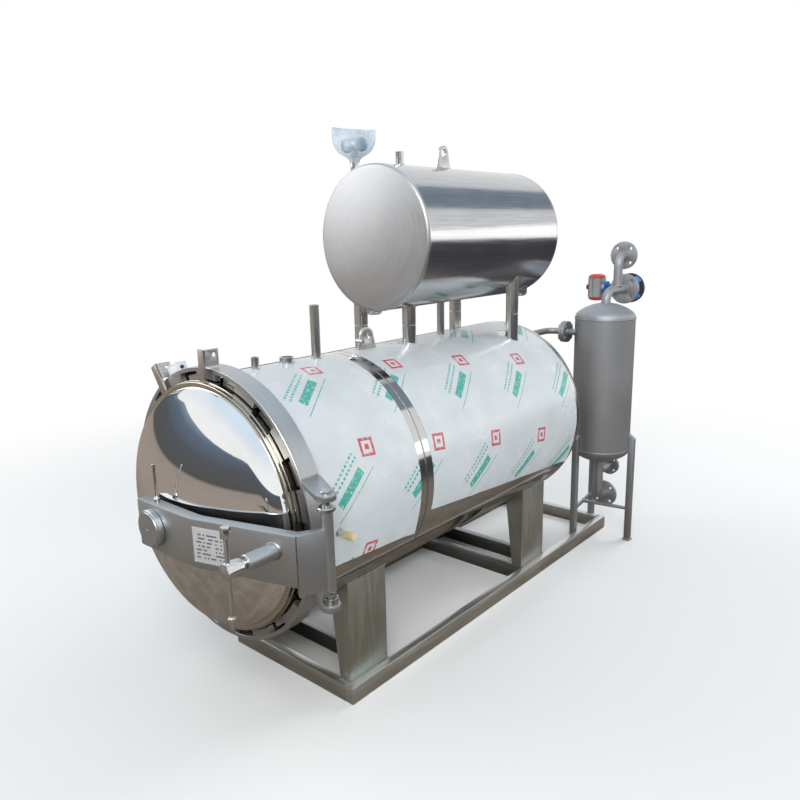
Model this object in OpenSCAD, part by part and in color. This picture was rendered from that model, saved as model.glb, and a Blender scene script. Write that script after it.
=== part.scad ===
// Horizontal retort sterilizer with an upper hot water tank and a vertical separator tank.
// Millimetres. +Z is up, the door faces -Y, and the vessel's axis runs along Y.
// The origin lies on the ground under the middle of the front rail, below the vessel's axis.

/* [Vessel] */
// Inside diameter of the pressure shell
vessel_id = 900; // [880:2:920]
// Thickness of the shell plate
shell_t = 6; // [5:0.5:8]
// Height of the vessel's axis above the ground
axis_h = 806; // [780:1:840]
// Length of the front shell course behind the ring
front_course_l = 546; // [500:1:600]
// Length of the rear shell course
rear_course_l = 1199; // [1150:1:1300]
// Distance of the ring's rear face in front of the front rail's centre line
ring_overhang = 228; // [215:1:240]
// Depth of the dished rear head
head_depth = 190; // [180:1:200]
// Knuckle radius of the rear head
head_knuckle = 90; // [80:1:100]
// Straight segments in which each round wall is rolled
shell_segments = 12; // [12:2:20]

/* [Locking ring and door] */
// Outside diameter of the locking ring
ring_od = 989; // [984:1:1010]
// Width of the locking ring along the vessel's axis
ring_l = 76.5; // [74:0.5:84]
// Number of teeth on the ring and on the door
teeth = 14; // [14:1:16]
// Share of the pitch that a ring tooth takes
ring_tooth_share = 0.5; // [0.45:0.01:0.5]
// Angle that a door tooth spans, in degrees
door_tooth_angle = 9.4; // [8:0.1:9.6]
// Thickness of a ring tooth along the axis
ring_tooth_t = 22; // [18:0.5:24]
// Clearance between the door and the ring along the axis
door_gap = 5; // [5:0.5:7]
// Depth of the door's dome in front of its rim
dome_depth = 196; // [185:1:200]
// Thickness of the door's dome
dome_t = 6; // [5:0.5:8]

/* [Swing arm and hinge] */
// Distance of the hinge pin from the vessel's axis plane
hinge_x = 597; // [590:1:610]
// Distance of the hinge pin in front of the ring's front face
hinge_ahead = 28.5; // [26:0.5:32]
// Diameter of the hinge pin
pin_d = 24; // [20:1:26]
// Height of the swing arm
arm_h = 165; // [150:1:175]
// Thickness of the swing arm
arm_t = 45; // [40:1:46]
// Diameter of the pivot stud in the middle of the door
pivot_d = 44; // [36:1:50]
// Running clearance of the pins, on the radius
pin_clear = 0.06; // [0.04:0.01:0.1]

/* [Clamp handle] */
// Distance of the handle from the vessel's axis plane
handle_x = 500; // [490:1:510]
// Height of the handle above the vessel's axis
handle_up = 26; // [15:1:35]
// Length of the tommy bar
tommy_l = 245; // [200:1:270]
// Diameter of the tommy bar
tommy_d = 14; // [12:1:16]

/* [Base frame] */
// Width of the base frame over its side rails
base_w = 704; // [694:1:712]
// Length of the base frame over its end rails
base_l = 2134; // [2130:1:2140]
// Height of a rail
rail_h = 70; // [60:1:80]
// Width of a rail
rail_w = 38; // [34:1:40]
// Distance from the front rail to the cross rail behind the front legs
front_leg_span = 203; // [195:1:210]
// Distance from the front rail to the cross rail before the rear legs
rear_leg_y = 1245; // [1235:1:1255]

/* [Legs] */
// Distance of a leg's outer face from the middle
leg_out_x = 318; // [316:1:322]
// Width of a leg at its foot
leg_foot_w = 60; // [50:1:70]
// Width that a leg gains up to the vessel
leg_flare = 55; // [40:1:60]

/* [Upper tank] */
// Outside diameter of the upper tank
tank_d = 596; // [590:1:600]
// Length of the upper tank's shell
tank_l = 995; // [980:1:1010]
// Depth of the upper tank's dished ends
tank_head_depth = 34; // [28:1:40]
// Knuckle radius of the upper tank's ends
tank_knuckle = 14; // [12:1:20]
// Wall thickness of the upper tank
tank_t = 3; // [3:0.5:4]
// Height of the upper tank's axis above the vessel's axis
tank_h = 901; // [890:1:915]
// Distance of the upper tank's front seam behind the front rail
tank_y = 556; // [550:1:565]
// Diameter of the tank's leg pipes
tank_leg_d = 56; // [50:1:60]

/* [Separator tank] */
// Outside diameter of the separator tank
sep_d = 318; // [312:1:320]
// Height of the separator's shell
sep_l = 724; // [700:1:740]
// Height of the separator's lower seam above the ground
sep_h = 530; // [520:1:540]
// Depth of the separator's dished ends
sep_head_depth = 82; // [78:1:88]
// Distance of the separator's axis from the vessel's axis plane
sep_x = 355; // [354:1:356]
// Distance of the separator's axis behind the front rail
sep_y = 2000; // [1999:1:2002]
// Width of the stand's square tubes
stand_d = 32; // [28:1:34]

/* [Pipework] */
// Outside diameter of the main pipes
pipe_d = 48; // [44:0.5:50]
// Wall thickness of the pipes
pipe_t = 3; // [2.5:0.5:4]
// Outside diameter of the large flanges
flange_d = 165; // [160:1:170]
// Outside diameter of the small flanges
small_flange_d = 150; // [145:1:155]
// Outside diameter of the link pipe and of its flanges' bore
link_d = 34; // [30:0.5:38]
// Outside diameter of the link pipe's flanges
link_flange_d = 115; // [110:1:120]
// Thickness of a flange
flange_t = 16; // [14:1:18]
// Radius of the pipe bends at the middle of the pipe
bend_r = 57; // [54:1:60]

/* [Hidden] */
$fn = 96;

shell_or = vessel_id / 2 + shell_t;
ring_r = ring_od / 2;
ring_rear = -ring_overhang;
ring_front = ring_rear - ring_l;
back_plate_t = 12;
seal_t = 6;
seal_face = ring_rear - back_plate_t - seal_t;
ring_wall_t = 14.5;
ring_bevel = 4;
ring_bore_r = ring_r - ring_wall_t;
ring_tooth_r = ring_bore_r - 25;
pitch = 360 / teeth;
course_seam = ring_rear + front_course_l;
shell_end = course_seam + rear_course_l;
joint_gap = 0.2;
door_rear = seal_face - door_gap;
door_tooth_front = ring_front + ring_tooth_t + door_gap;
door_root_r = ring_tooth_r - 9;
door_tip_r = ring_bore_r - 10;
dome_or = door_root_r - 11;
dome_base = ring_front + 2.5;
dome_knuckle = 100;
dome_front = dome_base - dome_depth;
hinge_y = ring_front - hinge_ahead;
arm_front = dome_front - 9 - arm_t;
sleeve_r = 19;
arm_end_t = 8;
arm_end_drop = 27;
handle_z = axis_h + handle_up;
rear_rail_y = base_l - rail_w;
rear_leg_span = front_leg_span - 9;
leg_top = axis_h - 0.55 * shell_or;
tank_r = tank_d / 2;
tank_z = axis_h + tank_h;
tank_end = tank_y + tank_l;
leg_places = [[-141, tank_y + 53], [44, tank_y + 161], [-121, tank_end - 272], [193, tank_end - 236]];
leg_joint_h = (shell_or + tank_h - tank_r) / 2;
drain_place = [10, tank_y + 431];
boss_places = [[-60, tank_y + 52], [115, tank_end - 40]];
riser_place = [-150, tank_y + 56];
riser_top = tank_h + 336;
sep_r = sep_d / 2;
sep_top = sep_h + sep_l;
leg_ring_r = sep_r + stand_d / 2;
leg_angles = [10, 127, 248];
outlet_z = sep_top + sep_head_depth + 58;
valve_y = sep_y + 277;
valve_t = 46;
valve_neck_l = 132;
actuator_x = sep_x - valve_neck_l - 56;
actuator_h = 108;
actuator_w = 86;
branch_y = sep_y + 139;
branch_h = 185;
link_z = axis_h + 372;
link_x = 70;
link_y = sep_y - 102;
link_flange_x = link_x + 88;
drain_h = 225;
drain_reach = 88;
drain_branch_h = 386;
drain_branch_l = 143;
brace_h = 186;
steel = "silver";
satin = "darkgray";

// Turns a shape drawn along +Z so that it runs along +Y, at a distance y and on the vessel's axis.
module along_y(y, z = axis_h, x = 0) {
    translate([x, y, z]) rotate([-90, 0, 0]) children();
}

// A round wall of n touching-free segments, from height 0 up to l.
module segments(r, t, l, n, first = 0, bevel = 0) {
    gap = joint_gap / r * 180 / PI;
    for (i = [0 : n - 1])
        rotate([0, 0, first + i * 360 / n])
            rotate_extrude(angle = 360 / n - gap)
                translate([r, 0]) polygon([[0, 0], [t - bevel, 0], [t, bevel], [t, l], [0, l]]);
}

// A block of a ring between two angles, centred on angle 0.
module ring_block(r_in, r_out, angle, l) {
    rotate([0, 0, -angle / 2])
        rotate_extrude(angle = angle)
            translate([r_in, 0]) square([r_out - r_in, l]);
}

// Crown radius that gives a dished end of radius r and knuckle k the stated depth.
function crown(r, k, depth) = (depth * depth + (r - k) * (r - k) - k * k) / (2 * (depth - k));

// Half profile of a filled dished end: a crown arc that runs into a knuckle arc.
// The crown sits a hair lower than tangent, so that the two arcs cross cleanly.
module dish_profile(r, k, depth, grow = 0, below = 0) {
    rc = crown(r, k, depth);
    low = depth - rc;
    side = asin((r - k) / (rc - k));
    far = 2 * rc;
    intersection() {
        union() {
            intersection() {
                translate([0, low - 0.03]) circle(rc + grow, $fn = 180);
                polygon([[0, low], [0, low + far], [far * sin(side), low + far * cos(side)]]);
            }
            translate([r - k, 0]) circle(k + grow, $fn = 120);
        }
        translate([0, -below]) square([far, far]);
    }
}

// A dished end of outside radius r that bulges along +Z.
module dish(r, k, depth, t) {
    rotate_extrude() difference() {
        dish_profile(r, k, depth);
        dish_profile(r, k, depth, -t, 1);
    }
}

// A pipe along +Z.
module pipe(d, l, t = pipe_t) {
    difference() {
        cylinder(d = d, h = l);
        translate([0, 0, -1]) cylinder(d = d - 2 * t, h = l + 2);
    }
}

// A solid quarter bend: it starts upward at the origin and ends running along +X.
module bend(d, r = bend_r) {
    translate([r, 0, 0]) rotate([90, 0, 0]) rotate([0, 0, 90])
        rotate_extrude(angle = 90)
            translate([r, 0]) circle(d = d, $fn = 64);
}

// A flange with a ring of four bolt holes, from height 0 up.
module flange(d, bore, inset = 20, hole_d = 18) {
    difference() {
        cylinder(d = d, h = flange_t);
        translate([0, 0, -1]) cylinder(d = bore, h = flange_t + 2);
        for (i = [0 : 3])
            rotate([0, 0, (i + 0.5) * 90])
                translate([d / 2 - inset, 0, -1]) cylinder(d = hole_d, h = flange_t + 2, $fn = 32);
    }
}

// A lifting lug: a tapering plate with a round head and an eye, standing on height 0.
module lug_plate(w, h, t, eye) {
    head = w * 0.34;
    rotate([90, 0, 0]) translate([0, 0, -t / 2]) linear_extrude(t) difference() {
        union() {
            polygon([[-w / 2, 0], [w / 2, 0], [head, h - head], [-head, h - head]]);
            translate([0, h - head]) circle(head, $fn = 48);
        }
        translate([0, h - head]) circle(d = eye, $fn = 48);
    }
}

module base_side_rails() color("dimgray")
    for (s = [-1, 1])
        translate([s * (base_w / 2 - rail_w / 2) - rail_w / 2, -rail_w / 2, 0])
            cube([rail_w, base_l, rail_h]);

module base_cross_rails() color("dimgray")
    for (y = [0, front_leg_span, rear_leg_y, rear_leg_y + rear_leg_span, rear_rail_y])
        translate([-base_w / 2 + rail_w, y - rail_w / 2, 0])
            cube([base_w - 2 * rail_w, rail_w, rail_h]);

// A pair of box legs that widen upward and are cut to the round of the vessel.
module leg_pair(y, l) {
    for (s = [0, 1]) mirror([s, 0, 0])
        difference() {
            translate([0, y + l, 0]) rotate([90, 0, 0]) linear_extrude(l)
                polygon([[leg_out_x - leg_foot_w, rail_h], [leg_out_x, rail_h], [leg_out_x, leg_top],
                    [leg_out_x - leg_foot_w - leg_flare, leg_top]]);
            along_y(y - 1) cylinder(r = shell_or + joint_gap, h = l + 2);
        }
}

module front_legs() color("gray") leg_pair(10, front_leg_span + 6);
module rear_legs() color("gray") leg_pair(rear_leg_y - 9, rear_leg_span + 14);

module shell_front_course() color("whitesmoke")
    along_y(seal_face)
        segments(vessel_id / 2, shell_t, course_seam - seal_face - joint_gap, shell_segments, 15);

module shell_rear_course() color("whitesmoke")
    along_y(course_seam)
        segments(vessel_id / 2, shell_t, rear_course_l, shell_segments, 15);

module rear_head() color(steel)
    along_y(shell_end + joint_gap) dish(shell_or, head_knuckle, head_depth, shell_t);

module ring_back_plate() color(satin)
    along_y(ring_rear - back_plate_t)
        segments(shell_or + joint_gap, ring_bore_r - shell_or - 2 * joint_gap, back_plate_t, teeth);

module ring_wall() color(satin)
    along_y(ring_front) segments(ring_bore_r, ring_wall_t, ring_l, 2 * teeth, 0, ring_bevel);

module ring_teeth() color(satin)
    along_y(ring_front)
        for (i = [0 : teeth - 1])
            rotate([0, 0, (i + 0.5) * pitch])
                ring_block(ring_tooth_r, ring_bore_r - joint_gap, pitch * ring_tooth_share, ring_tooth_t);

module door_seal() color("black")
    along_y(seal_face) difference() {
        cylinder(r = ring_bore_r - 6, h = seal_t - joint_gap);
        translate([0, 0, -1]) cylinder(r = shell_or + 2, h = seal_t + 2);
    }

// A hinge lug: a flat plate from the ring's side to a round eye at the pin.
module hinge_lug(z, t) {
    eye = 32;
    translate([0, 0, z]) difference() {
        linear_extrude(t) difference() {
            union() {
                polygon([[430, ring_rear - 4], [430, ring_front + 4], [hinge_x - 12, hinge_y - eye + 2],
                    [hinge_x + eye * 0.8, hinge_y + eye * 0.6], [470, ring_rear - 4]]);
                translate([hinge_x, hinge_y]) circle(eye);
            }
            translate([hinge_x, hinge_y]) circle(d = pin_d);
        }
        translate([0, 0, -z]) along_y(ring_front - 1) cylinder(r = ring_r + joint_gap, h = ring_l + 2);
    }
}

module hinge_lugs() color(satin) {
    hinge_lug(axis_h + 170, 20);
    hinge_lug(axis_h - 182, 22);
}

module hinge_pin() color(steel)
    translate([hinge_x, hinge_y, axis_h - 194]) {
        cylinder(d = pin_d, h = 390);
        translate([0, 0, 384.2]) cylinder(d = pin_d + 10, h = 8);
    }

// Stop collars above and below the sleeve, and the nuts that set its height.
module hinge_collars() color(steel)
    translate([hinge_x, hinge_y, axis_h]) difference() {
        union() {
            translate([0, 0, 136.3]) cylinder(r = 28, h = 12);
            translate([0, 0, -136]) cylinder(r = 22, h = 17.7, $fn = 6);
            translate([0, 0, -159.8]) cylinder(r = 24, h = 20);
        }
        translate([0, 0, -170]) cylinder(d = pin_d, h = 340);
    }

// Plan of the swing arm: straight across the dome, slanting back, then in to the hinge.
function arm_outer() = [[-90, arm_front], [205, arm_front + 5], [580, ring_front - 132], [607, hinge_y - 12]];
function arm_inner() = [[588, hinge_y - 6], [545, ring_front - 100], [212, arm_front + arm_t + 4],
    [-90, arm_front + arm_t]];

// Plan of the plate that closes the arm's end: the end face, thickened inward.
function arm_end() = let(a = arm_outer()[2], b = arm_outer()[3], d = (b - a) / norm(b - a))
    [a, b, b + arm_end_t * [-d[1], d[0]], a + arm_end_t * [-d[1], d[0]]];

module door_arm() color(satin)
    difference() {
        union() {
            translate([0, 0, axis_h - arm_h / 2]) linear_extrude(arm_h)
                polygon(concat(arm_outer(), arm_inner()));
            translate([0, 0, axis_h - arm_h / 2 - arm_end_drop]) linear_extrude(arm_h / 2 + arm_end_drop)
                polygon(arm_end());
        }
        along_y(arm_front - 1) cylinder(r = pivot_d / 2 + pin_clear, h = arm_t + 20);
        translate([hinge_x, hinge_y, 0]) cylinder(r = sleeve_r + joint_gap, h = 2 * axis_h);
    }

module hinge_sleeve() color(satin)
    translate([hinge_x, hinge_y, axis_h - 118]) difference() {
        cylinder(r = sleeve_r, h = 254);
        translate([0, 0, -1]) cylinder(r = pin_d / 2 + pin_clear, h = 256);
    }

module arm_boss() color(satin)
    along_y(arm_front - 18) {
        cylinder(r = 64, h = 18 - joint_gap);
        translate([0, 0, -3]) cylinder(r = 56, h = 4);
    }

// Thin upright rod of the lubricator, with a socket on the arm's top.
module lubricator() color(steel)
    translate([0, arm_front + arm_t / 2, axis_h + arm_h / 2 + joint_gap]) {
        cylinder(d = 20, h = 18);
        cylinder(d = 9, h = 130);
    }

// Slope of the arm's front face past its kink.
arm_slope = atan2(ring_front - 132 - arm_front - 5, 580 - 205);

module name_plate() color("gainsboro")
    translate([205, arm_front + 5, axis_h]) rotate([0, 0, arm_slope])
        translate([12, -1.7, -58]) cube([130, 1.5, 116]);

module screw_tube() color(satin)
    difference() {
        along_y(arm_front - 12, handle_z, handle_x) pipe(50, 130, 12);
        translate([0, 0, axis_h - arm_h]) linear_extrude(2 * arm_h)
            polygon(concat([for (p = arm_outer()) [p[0], p[1] - joint_gap]],
                [[700, 0], [-90, 0]]));
    }

module handle_hub() color(steel) {
    along_y(arm_front - 84, handle_z, handle_x) difference() {
        cylinder(r = 27, h = 70, $fn = 6);
        translate([0, -50, 16]) rotate([-90, 0, 0]) cylinder(d = tommy_d + 2 * pin_clear, h = 100);
    }
    along_y(arm_front - 14, handle_z, handle_x) cylinder(r = 13 - pin_clear, h = 60);
}

module tommy_bar() color(steel)
    translate([handle_x, arm_front - 68, handle_z - tommy_l / 2]) {
        cylinder(d = tommy_d, h = tommy_l);
        translate([0, 0, tommy_l - 34]) cylinder(r = 16, h = 34, $fn = 6);
        translate([0, 0, 27]) cylinder(d = 25, h = 9);
    }

module door_dome() color("lightsteelblue") {
    along_y(dome_base) mirror([0, 0, 1]) dish(dome_or, dome_knuckle, dome_depth, dome_t);
    along_y(arm_front + 2) cylinder(d = pivot_d, h = dome_front + 8 - arm_front - 2);
}

// The door's rim: a rolled ring that carries the teeth, with a raised lip around the dome.
module door_rim() color(steel)
    along_y(0) rotate_extrude()
        polygon([[dome_or - 14, door_rear], [door_root_r, door_rear], [door_root_r, dome_base - 14],
            [door_root_r - 6, dome_base - 14], [door_root_r - 6, dome_base + joint_gap],
            [dome_or - 14, dome_base + joint_gap]]);

module door_teeth() color(steel)
    along_y(door_tooth_front)
        for (i = [0 : teeth - 1])
            rotate([0, 0, i * pitch])
                ring_block(door_root_r + joint_gap, door_tip_r, door_tooth_angle, door_rear - door_tooth_front);

// Angle lugs on the door's rim: a flat bar in front and a drilled plate back over the ring.
module door_lugs() color("rosybrown")
    for (a = [89, 122])
        translate([0, 0, axis_h]) rotate([0, 90 - a, 0]) {
            translate([-16, dome_base - 24, door_root_r - 8]) cube([32, 10 - joint_gap, 120]);
            difference() {
                translate([11, dome_base - 24, ring_r + 6]) cube([5, 62, 58]);
                translate([0, dome_base + 20, ring_r + 44]) rotate([0, 90, 0]) cylinder(d = 14, h = 30);
            }
        }

module interlock_box() color("white")
    translate([0, 0, axis_h]) rotate([0, 90 - 114.5, 0])
        translate([-28, ring_front + 4, ring_r + joint_gap]) cube([56, 48, 34]);

// Stubs on the vessel's top: a small nipple, a flat socket and a tall open pipe.
module vessel_nozzles() color(steel)
    difference() {
        for (n = [[0, 134, 28, 44, 3], [0, 282, 54, 24, 6], [15, 418, 36, 206, 3]])
            translate([n[0], ring_rear + n[1], axis_h + shell_or - 10]) pipe(n[2], n[3] + 10, n[4]);
        along_y(ring_rear) cylinder(r = shell_or + joint_gap, h = shell_end - ring_rear);
    }

module vessel_lifting_lug() color("silver")
    difference() {
        translate([15, course_seam + 155, axis_h + shell_or - 6]) rotate([0, 0, 90]) union() {
            lug_plate(110, 96, 12, 36);
            translate([-34, 20, 40]) rotate([90, 0, 0]) cylinder(d = 22, h = 34);
        }
        along_y(ring_rear) cylinder(r = shell_or + joint_gap, h = shell_end - ring_rear);
    }

module side_nozzle_cap() color("lightgoldenrodyellow")
    difference() {
        translate([0, ring_rear + 78, axis_h - 34]) rotate([0, 90, 0]) cylinder(d = 30, h = shell_or + 70);
        along_y(ring_rear) cylinder(r = shell_or + joint_gap, h = shell_end - ring_rear);
    }

module tank_shell() color("silver")
    along_y(tank_y, tank_z) pipe(tank_d, tank_l, tank_t);

module tank_front_head() color("silver")
    along_y(tank_y - joint_gap, tank_z) mirror([0, 0, 1]) dish(tank_r, tank_knuckle, tank_head_depth, tank_t);

module tank_rear_head() color("silver")
    along_y(tank_end + joint_gap, tank_z) dish(tank_r, tank_knuckle, tank_head_depth, tank_t);

// An upright pipe between the vessel's top and the tank's underside.
module between_tanks(d, collar) {
    difference() {
        for (p = collar ? leg_places : [drain_place])
            translate([p[0], p[1], axis_h]) {
                cylinder(d = d, h = tank_z - axis_h);
                if (collar) translate([0, 0, leg_joint_h]) cylinder(d = d + 3, h = 4);
            }
        along_y(ring_rear) cylinder(r = shell_or + joint_gap, h = shell_end - ring_rear);
        along_y(tank_y, tank_z) cylinder(r = tank_r + joint_gap, h = tank_l);
    }
}

module tank_legs() color(steel) between_tanks(tank_leg_d, true);

// Drain pipe, and a round-bottomed boss under each end of the tank.
module tank_drain_pipe() color(steel) {
    between_tanks(34, false);
    difference() {
        for (p = boss_places)
            translate([p[0], p[1], tank_z - sqrt(tank_r * tank_r - p[0] * p[0])]) rotate_extrude()
                polygon([[0, -30], [20, -30], [31, -24], [36, -12], [36, 30], [0, 30]]);
        along_y(tank_y - 50, tank_z) cylinder(r = tank_r + joint_gap, h = tank_l + 100);
    }
}

module tank_lifting_lug() color("silver")
    difference() {
        translate([0, tank_y + 473, tank_z + tank_r - 6]) rotate([0, 0, 90]) lug_plate(96, 104, 12, 34);
        along_y(tank_y, tank_z) cylinder(r = tank_r + joint_gap, h = tank_l);
    }

module tank_vent_stub() color(steel)
    difference() {
        translate([0, tank_y + 175, tank_z + tank_r - 10]) pipe(36, 64);
        along_y(tank_y, tank_z) cylinder(r = tank_r + joint_gap, h = tank_l);
    }

// The valve's riser with a side nipple.
module tank_valve_riser() color(steel)
    difference() {
        translate([riser_place[0], riser_place[1], axis_h + riser_top]) {
            translate([0, 0, -116]) cylinder(d = 34, h = 116);
            translate([0, 0, -54]) rotate([90, 0, 35]) cylinder(d = 22, h = 52);
        }
        along_y(tank_y, tank_z) cylinder(r = tank_r + joint_gap, h = tank_l);
    }

module tank_valve_actuator() color("gainsboro")
    translate([riser_place[0], riser_place[1], axis_h + riser_top + joint_gap]) {
        cylinder(d = 30, h = 24);
        translate([-34, 0, 46]) rotate([0, 90, 0]) cylinder(d = 52, h = 68);
        translate([0, 0, 60]) cylinder(d = 18, h = 24);
    }

module tank_actuator_caps() color("midnightblue")
    translate([riser_place[0], riser_place[1], axis_h + riser_top + 46 + joint_gap])
        for (s = [-1, 1])
            translate([s * (34 + joint_gap) + (s < 0 ? -22 : 0), 0, 0]) rotate([0, 90, 0]) cylinder(d = 56, h = 22);

// Clear bag over the valve: a thin closed cone with a gathered neck around the riser.
module valve_bag() color("white", 0.4)
    translate([riser_place[0], riser_place[1], axis_h + riser_top - 24]) rotate_extrude($fn = 48)
        polygon([[18, 0], [20, 0], [92, 70], [88, 132], [0, 136], [0, 134], [86, 130], [90, 70.8]]);

module separator_shell() color("darkgray")
    translate([sep_x, sep_y, sep_h]) pipe(sep_d, sep_l, 4);

module separator_top_head() color("darkgray")
    translate([sep_x, sep_y, sep_top + joint_gap]) difference() {
        dish(sep_r, 44, sep_head_depth, 4);
        cylinder(d = pipe_d - 2 * pipe_t, h = 200);
    }

module separator_bottom_head() color("darkgray")
    translate([sep_x, sep_y, sep_h - joint_gap]) mirror([0, 0, 1]) difference() {
        dish(sep_r, 44, sep_head_depth, 4);
        cylinder(d = pipe_d - 2 * pipe_t, h = 200);
    }

// Ground plan of one of the stand's legs.
function stand_at(i) = [sep_x + leg_ring_r * cos(leg_angles[i]), sep_y + leg_ring_r * sin(leg_angles[i])];

// A square rung between two points of the ground plan.
module rung(a, b) {
    translate([a[0], a[1], brace_h]) rotate([0, 0, atan2(b[1] - a[1], b[0] - a[0])])
        translate([0, -8, -8]) cube([norm(b - a), 16, 16]);
}

// A square post at one of the stand's legs.
module post(i, w, h) {
    translate([stand_at(i)[0] - w / 2, stand_at(i)[1] - w / 2, 0]) cube([w, w, h]);
}

// A three-legged stand of square tubes with foot plates, tied low down by a T of square bar.
module separator_stand() color("darkgray") {
    leg_h = sep_h + 90;
    foot_w = 44;
    foot_t = 6;
    middle = (stand_at(1) + stand_at(2)) / 2;
    for (i = [0 : 2])
        difference() {
            union() {
                post(i, stand_d, leg_h);
                post(i, foot_w, foot_t);
            }
            translate([sep_x, sep_y, foot_t]) cylinder(r = sep_r + joint_gap, h = leg_h);
            translate([stand_at(i)[0], stand_at(i)[1], leg_h - 12]) rotate([0, 37, leg_angles[i]])
                translate([-stand_d, -stand_d, 0]) cube(2 * stand_d);
        }
    difference() {
        union() {
            rung(stand_at(1), stand_at(2));
            rung(middle + (stand_at(0) - middle) * 0.04, stand_at(0));
        }
        for (i = [0 : 2])
            post(i, stand_d + 2 * joint_gap, sep_h);
    }
}

// The separator's dished end as a filled shape, a little proud of its plate.
module sep_dish_cut() {
    rotate_extrude() dish_profile(sep_r, 44, sep_head_depth, 2 * joint_gap);
}

// Path of the outlet pipe, drawn at any diameter; past makes the open ends longer.
module outlet_path(d, past = 0) {
    translate([sep_x, sep_y, sep_top + 40]) cylinder(d = d, h = outlet_z - bend_r - sep_top - 40);
    translate([sep_x, sep_y, outlet_z - bend_r]) rotate([0, 0, 90]) bend(d);
    along_y(sep_y + bend_r, outlet_z, sep_x)
        cylinder(d = d, h = valve_y - valve_t / 2 - sep_y - bend_r + past);
    translate([sep_x, branch_y, outlet_z]) cylinder(d = d, h = branch_h - bend_r);
    translate([sep_x, branch_y, outlet_z + branch_h - bend_r]) rotate([0, 0, 90]) bend(d);
    along_y(branch_y + bend_r, outlet_z + branch_h, sep_x) cylinder(d = d, h = flange_t + past);
}

// Pipe from the separator's top: a bend to the rear, a branch up to a flange, and the valve's flange.
module separator_outlet() color("darkgray")
    difference() {
        union() {
            outlet_path(pipe_d);
            along_y(valve_y - valve_t / 2 - flange_t, outlet_z, sep_x) flange(flange_d, 0);
            along_y(branch_y + bend_r, outlet_z + branch_h, sep_x) flange(small_flange_d, 0);
        }
        outlet_path(pipe_d - 2 * pipe_t, 1);
        translate([sep_x, sep_y, sep_top]) sep_dish_cut();
    }

// Outer flange of the valve, with an open face to the rear.
module valve_end_flange() color("darkgray")
    along_y(valve_y + valve_t / 2 + joint_gap, outlet_z, sep_x) flange(flange_d, pipe_d - 2 * pipe_t);

// Lugged body of the butterfly valve, and its neck with a block and a round mount for the actuator.
module butterfly_valve() color("royalblue")
    along_y(valve_y - valve_t / 2 + joint_gap, outlet_z, sep_x) difference() {
        union() {
            cylinder(d = flange_d - 5, h = valve_t - 2 * joint_gap);
            translate([0, 0, valve_t / 2]) rotate([0, -90, 0]) {
                cylinder(d = 34, h = valve_neck_l);
                translate([-20, -20, valve_neck_l - 42]) cube([40, 40, 36]);
                translate([0, 0, valve_neck_l - 12]) cylinder(d = 73, h = 12);
            }
        }
        for (i = [0 : 3])
            rotate([0, 0, (i + 0.5) * 90])
                translate([flange_d / 2 - 20, 0, -1]) cylinder(d = 18, h = valve_t + 2, $fn = 32);
        translate([0, 0, valve_t / 2 + 6]) cylinder(d = pipe_d - 2 * pipe_t, h = valve_t);
    }

// Four tie bolts through the valve's two flanges.
module valve_bolts() color("silver")
    along_y(valve_y - valve_t / 2 - flange_t - 10, outlet_z, sep_x)
        for (i = [0 : 3])
            rotate([0, 0, (i + 0.5) * 90]) translate([flange_d / 2 - 20, 0, 0]) {
                cylinder(d = 16, h = valve_t + 2 * flange_t + 20, $fn = 32);
                for (z = [0, valve_t + 2 * flange_t + 10 + joint_gap])
                    translate([0, 0, z]) cylinder(r = 14, h = 10 - joint_gap, $fn = 6);
            }

// Outline of the actuator: a square with round corners and a groove down each side.
module actuator_outline(grow = 0) {
    difference() {
        intersection() {
            circle(d = actuator_w * 1.16 + grow);
            square(actuator_w + grow, center = true);
        }
        for (a = [90, 180, 270])
            rotate([0, 0, a]) translate([actuator_w / 2 + grow / 2 - 3, -9]) square([10, 18]);
    }
}

// Upright actuator body at the end of the valve's neck, with a round stub toward the mount.
module valve_actuator() color("slategray")
    translate([actuator_x, valve_y, outlet_z]) {
        translate([0, 0, -actuator_h / 2]) linear_extrude(actuator_h) actuator_outline();
        rotate([0, 90, 0]) cylinder(d = 60, h = 56 - joint_gap);
    }

// Domed end caps of the actuator.
module valve_actuator_caps() color("firebrick")
    translate([actuator_x, valve_y, outlet_z])
        for (s = [0, 1])
            mirror([0, 0, s]) translate([0, 0, actuator_h / 2 + joint_gap]) rotate_extrude()
                polygon([[0, 0], [actuator_w * 0.55, 0], [actuator_w * 0.55, 8], [actuator_w * 0.36, 20], [0, 22]]);

// Position knob on the actuator's outer side.
module actuator_knob() color("black")
    translate([actuator_x - actuator_w / 2 + 3 - joint_gap, valve_y, outlet_z]) rotate([0, -90, 0]) {
        cylinder(d = 17, h = 8);
        translate([0, 0, 8]) cylinder(d = 30, h = 14);
    }

// Path of the link pipe from the vessel's rear head to the separator's side.
module link_path(d, past = 0) {
    along_y(shell_end + 20, link_z, link_x) cylinder(d = d, h = link_y - bend_r - shell_end - 20);
    translate([link_x, link_y - bend_r, link_z]) rotate([-90, 0, 0]) bend(d);
    translate([link_x + bend_r, link_y, link_z]) rotate([0, 90, 0])
        cylinder(d = d, h = sep_x - link_x - bend_r + past);
}

// Link pipe with a bolted pair of flanges.
module link_pipe() color("darkgray")
    difference() {
        union() {
            link_path(link_d);
            translate([link_flange_x, link_y, link_z]) rotate([0, 90, 0]) flange(link_flange_d, 0, 15, 14);
            translate([link_flange_x + flange_t, link_y, link_z]) rotate([0, 90, 0])
                flange(link_flange_d, 0, 15, 14);
        }
        link_path(link_d - 2 * pipe_t, 1);
        translate([sep_x, sep_y, sep_h]) cylinder(r = sep_r + joint_gap, h = sep_l);
        along_y(shell_end) rotate_extrude() dish_profile(shell_or, head_knuckle, head_depth, 2 * joint_gap);
    }

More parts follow.
